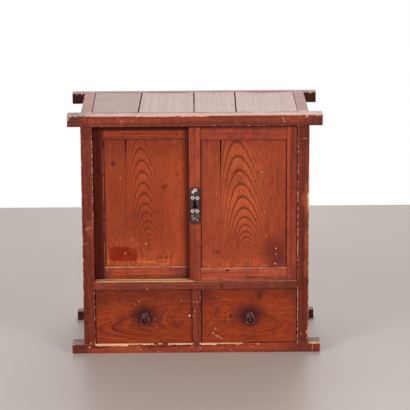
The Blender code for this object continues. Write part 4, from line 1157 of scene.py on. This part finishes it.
def worn_timber(node, along, material, depth=1.0, pitch=1.0, shape=None):
    """A worn copy of a wooden node, whose grain runs along an axis. depth and pitch scale the wear."""
    sizes = bpy.context.scene.chest_sizes
    low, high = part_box(node)
    bm = solid_copy(node)
    chips = CHIPS.get(node, ())
    cuts = even_cuts(low[along], high[along], sizes.wear_pitch * pitch)
    for centre, radius, _ in chips:
        cuts += [centre[along] + share * radius for share in CHIP_CUTS]
    slice_across(bm, along, [cut for cut in cuts if low[along] < cut < high[along]])
    for axis in (X, Y, Z):
        if axis != along:
            for share in CHIPPED_STRIPS if chips else PLAIN_STRIPS:
                slice_across(bm, axis, (low[axis] + sizes.arris * share, high[axis] - sizes.arris * share))
    if shape:
        shape(bm, low, high)
    weather(bm, node, low, high, along, sizes.rub * depth)
    piece = stand_for(bm, node + "_worn", material, BODY_OF[node], (node,))
    carry_places(piece.data, node, low, high, along)
    return piece


def refinish(nodes, material):
    """Gives CAD nodes whose shape is right a better material."""
    for node in nodes:
        data = NODES[node].data
        data.materials.clear()
        data.materials.append(material)


def lathe(bm, profile, centre, axis, steps):
    """Turns a profile of radius and height about an axis that stands at centre, and closes it."""
    axis = Vector(axis)
    side = axis.orthogonal().normalized()
    points = [bm.verts.new(Vector(centre) + side * radius + axis * rise) for radius, rise in profile]
    edges = [bm.edges.new(pair) for pair in zip(points, points[1:])]
    bmesh.ops.spin(bm, geom=points + edges, cent=centre, axis=axis, dvec=(0, 0, 0), angle=2 * math.pi,
                   steps=steps, use_merge=True)


def tidy(bm):
    """Merges the seams and poles of turned shapes and points their faces outwards."""
    bmesh.ops.remove_doubles(bm, verts=bm.verts, dist=0.00001)
    bmesh.ops.recalc_face_normals(bm, faces=bm.faces)


def dome(radius, rise, steps=5):
    """Profile of a domed head, closed underneath."""
    arc = [(radius * math.cos(math.pi / 2 * step / steps), rise * math.sin(math.pi / 2 * step / steps))
           for step in range(steps)]
    return [(0, 0), *arc, (0, rise)]


class CHEST_OT_frame(Operator):
    """Rails, posts, sill and divider, worn along their arrises"""

    bl_idname = "chest.frame"
    bl_label = "Frame"

    def execute(self, context):
        colours = context.scene.chest_colours
        material = lacquered(
            "frame_lacquer", colours.frame_light, colours.frame_dark, straight_figure, pale=PALE_ON_FRAME,
            stains=DARK_ON_FRAME, front=FRONT, flecked=0.10, ground=frame_ground, extra=frame_extra,
            worn_zones=WORN_ON_FRAME, dotted_zones=DOTTED_ON_FRAME, streaked=0.22, clouded=0.5,
        )
        for nodes, along in ((LONG_RAILS, X), (END_RAILS, Y), (POSTS, Z)):
            for node in nodes:
                worn_timber(node, along, material)
        return {"FINISHED"}


class CHEST_OT_case_boards(Operator):
    """Top boards that have sunk and shrunk apart, side panels, and the bare boards inside and behind"""

    bl_idname = "chest.case_boards"
    bl_label = "Case boards"

    def execute(self, context):
        colours = context.scene.chest_colours
        self.make_top(context.scene.chest_sizes)
        sides = lacquered("side_lacquer", colours.frame_light, colours.frame_dark, straight_figure, wear=0.3)
        for side in SIDES:
            worn_timber(f"{side}_side_panel", Z, sides, 0.5, 2.6)
        refinish(("back_board_1", "back_board_2"), bare_wood("back_wood", Z, back_grime))
        refinish(("base_board", "cupboard_floor"), bare_wood("inside_wood_long", X))
        refinish(RUNNERS, bare_wood("inside_wood_deep", Y))
        return {"FINISHED"}

    def make_top(self, sizes):
        """Each top board has its share of the sag, and its left and right edges lean at the front."""
        faded = faded_boards("faded_boards")
        browner = faded_boards("faded_first_board", 0.22, True)
        lean = sizes.board_lean
        settings = ((0.25, 0.0, lean, browner), (0.9, lean, 0.0, faded), (0.35, 0.0, 0.4 * lean, faded),
                    (1.0, 0.4 * lean, 0.0, faded))
        for node, (share, left_lean, right_lean, material) in zip(TOP_BOARDS, settings):
            board = worn_timber(node, Y, material, 1.3, 2.4, partial(self.sink, sizes, share))
            low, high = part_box(node)
            for vertex in board.data.vertices:
                across, back = self.place_on_board(vertex, low, high)
                vertex.co.x -= (left_lean * (1 - across) + right_lean * across) * (1 - back)

    def sink(self, sizes, share, bm, low, high):
        """Draws in the edges of a top board, lowers its middle and lifts its front."""
        slice_across(bm, X, even_cuts(low.x, high.x, 0.018))
        for vertex in bm.verts:
            if vertex.co.x < low.x + 0.001:
                vertex.co.x += sizes.board_shrinkage
            if vertex.co.x > high.x - 0.001:
                vertex.co.x -= sizes.board_shrinkage
            if vertex.co.z > high.z - 0.002:
                across, back = self.place_on_board(vertex, low, high)
                vertex.co.z -= sizes.board_sag * share * 4 * across * (1 - across) * (0.25 + 0.75 * back)
                vertex.co.z += sizes.board_rise * max(0.0, 1 - 3 * back)

    def place_on_board(self, vertex, low, high):
        """How far a point is across a board and towards its back, from 0 to 1."""
        return (vertex.co.x - low.x) / (high.x - low.x), (vertex.co.y - low.y) / (high.y - low.y)


class CHEST_OT_doors(Operator):
    """The two sliding doors with their figured panels"""

    bl_idname = "chest.doors"
    bl_label = "Doors"

    def execute(self, context):
        colours = context.scene.chest_colours
        finishes = {
            "left": (PALE_ON_LEFT_DOOR, DARK_ON_LEFT_DOOR, left_panel_ground, left_panel_extra),
            "right": (PALE_ON_RIGHT_DOOR, DARK_ON_RIGHT_DOOR, right_panel_ground, right_panel_extra),
        }
        for side, (pale, stains, panel_ground, panel_extra) in finishes.items():
            door = f"{side}_door"
            lacquer = lacquered(
                f"{door}_lacquer", colours.door_light, colours.door_dark, straight_figure, wear=0.25,
                pale=pale, stains=stains, front=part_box(f"{door}_left_stile")[0].y, flecked=0.04,
                ground=door_ground(side), extra=door_extra(side), streaked=0.40,
            )
            figured = lacquered(
                f"{door}_figured", colours.panel_light, colours.panel_dark,
                partial(cathedral_figure, **PANEL_GRAIN[side]), wear=0.0, pale=pale, stains=stains,
                front=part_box(f"{door}_wide_board")[0].y, flecked=0.03, ground=panel_ground, extra=panel_extra,
                streaked=0.45, clouded=0.5, mottled=0.7, bare=tint(250, 212, 192),
            )
            for part, along in (("left_stile", Z), ("right_stile", Z), ("top_rail", X), ("bottom_rail", X)):
                worn_timber(f"{door}_{part}", along, lacquer, 0.7, 1.4)
            closes, share = PANEL_SEAMS[side]
            shrink = partial(self.shrink, closes, share * context.scene.chest_sizes.seam_gap)
            worn_timber(f"{door}_narrow_board", Z, figured, 0.3, 2.0)
            worn_timber(f"{door}_wide_board", Z, figured, 0.3, 2.0, shrink)
        return {"FINISHED"}

    def shrink(self, closes, widest, bm, low, high):
        """Opens the seam on the left of a wide board, from where it closes up to the top."""
        for vertex in bm.verts:
            if vertex.co.x < low.x + 0.002 and vertex.co.z > closes:
                vertex.co.x += widest * (vertex.co.z - closes) / (high.z - closes)


class CHEST_OT_drawers(Operator):
    """Drawer fronts with looped grain, and the bare drawer boxes behind them"""

    bl_idname = "chest.drawers"
    bl_label = "Drawers"

    def execute(self, context):
        colours = context.scene.chest_colours
        spots = {
            "left": (PALE_ON_LEFT_DRAWER, DARK_ON_LEFT_DRAWER),
            "right": (PALE_ON_RIGHT_DRAWER, DARK_ON_RIGHT_DRAWER),
        }
        deep = bare_wood("drawer_wood_deep", Y)
        wide = bare_wood("drawer_wood_wide", X)
        for side, (pale, stains) in spots.items():
            node = f"{side}_drawer_front"
            material = lacquered(
                f"{side}_drawer_figured", colours.drawer_light, colours.drawer_dark,
                partial(loop_figure, **DRAWER_GRAIN[side]), wear=0.35, pale=pale, stains=stains,
                front=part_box(node)[0].y, flecked=0.018, extra=halo_extra(*PULL_HALOS[side]), roughness=0.38,
                clouded=0.8, mottled=0.55, bare=tint(250, 206, 184),
            )
            worn_timber(node, X, material, 0.8, 1.4)
            refinish([f"{side}_drawer_{part}" for part in ("left_side", "right_side", "bottom")], deep)
            refinish([f"{side}_drawer_back"], wide)
        return {"FINISHED"}


class CHEST_OT_lock(Operator):
    """Lock plate with its washers, pins and tacks, the lock case and the bolt"""

    bl_idname = "chest.lock"
    bl_label = "Lock"

    def execute(self, context):
        colours = context.scene.chest_colours
        sizes = context.scene.chest_sizes
        low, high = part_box("lock_plate")
        self.make_plate(low, high, wrought("plate_iron", colours.iron, colours.iron_worn, 0.35, extra=plate_tarnish_and_keyhole_shade))
        face = low.y + 0.0003
        bright, dull, pins = bmesh.new(), bmesh.new(), bmesh.new()
        hole = sizes.washer_hole
        bead = (sizes.washer - hole) / 2
        turns = [math.pi * step / 8 for step in range(9)]
        ring = [(hole + bead - bead * math.cos(turn), WASHER_RISE * math.sin(turn)) for turn in turns]
        for x, z in LOCK_WASHERS:
            lathe(bright, [*ring, ring[0]], (x, face, z), FORWARD, 24)
            lathe(pins, dome(hole * 1.05, PIN_RISE), (x, face, z), FORWARD, 16)
        for bm, tacks in ((bright, BRIGHT_TACKS), (dull, DULL_TACKS)):
            for x, z, radius in tacks:
                lathe(bm, dome(radius, TACK_RISE), (x, face, z), FORWARD, 16)
        pieces = (
            (bright, "lock_washers", wrought("washer_tin", colours.tin, tint(250, 244, 238), 0.6, 0.34)),
            (dull, "lock_tarnished_washers",
             wrought("tarnished_tin", tint(134, 122, 120), colours.tin, 0.3, 0.45)),
            (pins, "lock_pins", wrought("pin_iron", tint(22, 18, 17), tint(40, 34, 32), 0.2, 0.6)),
        )
        for bm, name, material in pieces:
            tidy(bm)
            stand_for(bm, name, material, BODY_OF["lock_plate"], smooth=True)
        refinish(("lock_case", "lock_bolt"), wrought("lock_iron", colours.iron, colours.iron_worn, 0.2, 0.55))
        return {"FINISHED"}

    def make_plate(self, low, high, iron):
        """The hammered plate, with its keyhole worn wider than it was cut."""
        plate = solid_copy("lock_plate")
        slice_across(plate, Z, even_cuts(low.z, high.z, 0.004))
        slice_across(plate, X, even_cuts(low.x, high.x, 0.004))
        keyhole = (low + high) / 2
        for vertex in plate.verts:
            off = vertex.co - keyhole
            open_up = max(0.0, 1 - max(abs(off.x) / KEYHOLE_REACH[0], abs(off.z) / KEYHOLE_REACH[1]) ** 2)
            vertex.co.x += off.x * KEYHOLE_STRETCH[0] * open_up
            vertex.co.z += (off.z * KEYHOLE_STRETCH[1] + KEYHOLE_LIFT) * open_up
            if vertex.co.y < low.y + 0.0002:
                rim = min(vertex.co.x - low.x, high.x - vertex.co.x, vertex.co.z - low.z, high.z - vertex.co.z)
                vertex.co.y += 0.00022 * noise.noise(vertex.co * 110) + (0.0006 if rim < 0.0006 else 0.0002)
        stand_for(plate, "lock_plate_hammered", iron, BODY_OF["lock_plate"], ("lock_plate",))


class CHEST_OT_pulls(Operator):
    """Each drawer's pull: a scalloped rosette, a staple and a forged ring"""

    bl_idname = "chest.pulls"
    bl_label = "Pulls"

    def execute(self, context):
        iron = wrought("pull_iron", tint(98, 70, 64), tint(208, 174, 160), 0.45, 0.34, 0.45)
        browned = wrought("rosette_iron", tint(88, 56, 53), tint(164, 122, 116), 0.40, 0.45, 0.40)
        for side in SIDES:
            self.make_rosette(f"{side}_pull_rosette", browned)
            self.make_ring(f"{side}_pull_ring", iron)
            self.make_staple(f"{side}_pull_staple", browned)
        return {"FINISHED"}

    def make_rosette(self, node, iron):
        """A turned disc whose rim is cut into scallops."""
        low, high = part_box(node)
        middle = (low + high) / 2
        centre = Vector((middle.x, high.y, middle.z))
        radius = (high.x - low.x) / 2
        rise = high.y - low.y
        bm = bmesh.new()
        lathe(bm, [(radius * out, rise * up) for out, up in ROSETTE_PROFILE], centre, FORWARD, 96)
        tidy(bm)
        for vertex in bm.verts:
            off = vertex.co - centre
            far = math.hypot(off.x, off.z) / radius
            if far > SCALLOP_START:
                lobe = 1 - abs(math.cos(SCALLOPS / 2 * math.atan2(off.z, off.x)))
                lobe *= SCALLOP_DEPTH * (far - SCALLOP_START) / (1 - SCALLOP_START)
                vertex.co.x -= off.x * lobe
                vertex.co.z -= off.z * lobe
        stand_for(bm, f"{node}_scalloped", iron, BODY_OF[node], (node,), smooth=True)

    def make_ring(self, node, iron):
        """A ring of round wire, uneven from the forge."""
        low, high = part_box(node)
        middle = (low + high) / 2
        wire = (high.y - low.y) / 2
        around = (high.x - low.x) / 2 - wire
        bm = bmesh.new()
        turn = Matrix.Translation(middle + Vector((around, 0, 0)))
        bmesh.ops.create_circle(bm, segments=16, radius=wire, matrix=turn)
        bmesh.ops.spin(bm, geom=bm.verts[:] + bm.edges[:], cent=middle, axis=(0, 1, 0), dvec=(0, 0, 0),
                       angle=2 * math.pi, steps=56, use_merge=True)
        tidy(bm)
        for vertex in bm.verts:
            spoke = Vector((vertex.co.x - middle.x, 0, vertex.co.z - middle.z)).normalized()
            core = middle + spoke * around
            thin = 0.94 + 0.06 * noise.noise(vertex.co * 190)
            vertex.co = core + (vertex.co - core) * thin
        stand_for(bm, f"{node}_forged", iron, BODY_OF[node], (node,), smooth=True)

    def make_staple(self, node, iron):
        """A smooth copy of the staple's solid."""
        piece = stand_for(solid_copy(node), f"{node}_bent", iron, BODY_OF[node], (node,), smooth=True)
        smooth = piece.modifiers.new("round", "SUBSURF")
        smooth.levels = smooth.render_levels = 1


class CHEST_OT_nails(Operator):
    """Nail heads that hold the top boards"""

    bl_idname = "chest.nails"
    bl_label = "Nails"

    def execute(self, context):
        head = dome(context.scene.chest_sizes.nail, NAIL_RISE, 4)
        bm = bmesh.new()
        for x, y in TOP_NAILS:
            lathe(bm, head, (x, y, TOP - 0.0012), (0, 0, 1), 14)
        tidy(bm)
        iron = wrought("nail_iron", tint(40, 34, 32), tint(86, 74, 68), 0.3, 0.6)
        stand_for(bm, "top_board_nails", iron, "case", smooth=True)
        return {"FINISHED"}


class CHEST_OT_stage(Operator):
    """Camera, light and a plain pale floor"""

    bl_idname = "chest.stage"
    bl_label = "Stage"

    def execute(self, context):
        scene = context.scene
        stage = scene.chest_stage
        self.make_camera(scene)
        for name, place, target, size in LAMPS:
            self.make_light(f"{name}_light", getattr(stage, name), place, target, size)
        self.make_floor(scene.chest_colours.floor, stage.wall)
        self.make_world(scene, stage.ambient)
        scene.view_settings.view_transform = "Standard"
        return {"FINISHED"}

    def make_camera(self, scene):
        """The camera, aimed by its pitch, yaw and roll."""
        pitch, yaw, roll = CAMERA_TURN
        forward = Vector((-math.sin(yaw) * math.cos(pitch), math.cos(yaw) * math.cos(pitch), -math.sin(pitch)))
        right = Vector((math.cos(yaw), math.sin(yaw), 0))
        up = right.cross(forward)
        level_right = right * math.cos(roll) + up * math.sin(roll)
        level_up = up * math.cos(roll) - right * math.sin(roll)
        data = bpy.data.cameras.new("camera")
        data.sensor_width = CAMERA_SENSOR
        data.lens = CAMERA_LENS
        data.clip_end = 60
        turn = Matrix((level_right, level_up, -forward)).transposed().to_4x4()
        scene.camera = put("camera", data)
        scene.camera.matrix_world = Matrix.Translation(CAMERA_PLACE) @ turn

    def make_light(self, name, power, place, target, size):
        """A round soft lamp that faces a target."""
        data = bpy.data.lights.new(name, "AREA")
        data.energy = power
        data.shape = "DISK"
        data.size = size
        light = put(name, data)
        light.location = place
        light.visible_camera = False
        light.rotation_euler = (Vector(target) - Vector(place)).to_track_quat("-Z", "Y").to_euler()

    def make_floor(self, colour, wall):
        """The floor, from in front of the camera back to the wall."""
        f = Finish("pale_floor", 0.4)
        tone = f.cloud(f.place, 1.2, 3)
        shade = f.mix(f.step(tone, 0.3, 0.7, 0, 0.06), colour, tint(170, 160, 154))
        material = f.close(shade, f.step(tone, 0.3, 0.7, 0.40, 0.46), tone, 0.0001)
        bm = bmesh.new()
        bmesh.ops.create_grid(bm, x_segments=1, y_segments=1, size=1)
        bmesh.ops.scale(bm, verts=bm.verts, vec=(FLOOR_HALF_WIDTH, (wall - FLOOR_START) / 2, 1))
        bmesh.ops.translate(bm, verts=bm.verts, vec=(0, (wall + FLOOR_START) / 2, 0))
        put_mesh(bm, "floor", material)

    def make_world(self, scene, ambient):
        """White behind the chest for the camera, even light, and a bright wall in reflections."""
        world = bpy.data.worlds.new("studio")
        world.use_nodes = True
        sky = Nodes(world.node_tree)
        camera_ray = sky.node("ShaderNodeLightPath", {}, {}, "Is Camera Ray")
        seen = sky.most(camera_ray, camera_ray.output("Is Transmission Ray"))
        _, behind, _ = sky.parts(sky.node("ShaderNodeTexCoord", {}, {}, "Generated"))
        wall = sky.step(behind, 0.0, 0.6, 0.3 * ambient, 1.0)
        strength = sky.node("ShaderNodeMix", {}, {0: camera_ray.output("Is Glossy Ray"), 2: ambient, 3: wall})
        strength = sky.node("ShaderNodeMix", {}, {0: seen, 2: strength, 3: 1.0})
        sky.show("ShaderNodeOutputWorld",
                 sky.node("ShaderNodeBackground", {}, {"Color": (1, 1, 1), "Strength": strength}))
        scene.world = world


class CHEST_PT_pieces(Panel):
    """Lists the operators that dress the chest"""

    bl_label = "Merchant chest"
    bl_idname = "CHEST_PT_pieces"
    bl_space_type = "VIEW_3D"
    bl_region_type = "UI"
    bl_category = "Chest"

    def draw(self, context):
        for operator in OPERATORS:
            self.layout.operator(operator.bl_idname)
        for group in (context.scene.chest_colours, context.scene.chest_sizes, context.scene.chest_stage):
            column = self.layout.column(align=True)
            for name in group.__annotations__:
                column.prop(group, name)


OPERATORS = (
    CHEST_OT_stage, CHEST_OT_frame, CHEST_OT_case_boards, CHEST_OT_doors, CHEST_OT_drawers, CHEST_OT_lock,
    CHEST_OT_pulls, CHEST_OT_nails,
)
CLASSES = (ChestColours, ChestSizes, ChestStage, *OPERATORS, CHEST_PT_pieces)


def register():
    for cls in CLASSES:
        bpy.utils.register_class(cls)
    bpy.types.Scene.chest_colours = PointerProperty(type=ChestColours)
    bpy.types.Scene.chest_sizes = PointerProperty(type=ChestSizes)
    bpy.types.Scene.chest_stage = PointerProperty(type=ChestStage)


def unregister():
    del bpy.types.Scene.chest_stage
    del bpy.types.Scene.chest_sizes
    del bpy.types.Scene.chest_colours
    for cls in reversed(CLASSES):
        bpy.utils.unregister_class(cls)


def main():
    register()
    bpy.ops.chest.stage()
    bpy.ops.chest.frame()
    bpy.ops.chest.case_boards()
    bpy.ops.chest.doors()
    bpy.ops.chest.drawers()
    bpy.ops.chest.lock()
    bpy.ops.chest.pulls()
    bpy.ops.chest.nails()


if __name__ == "__main__":
    main()
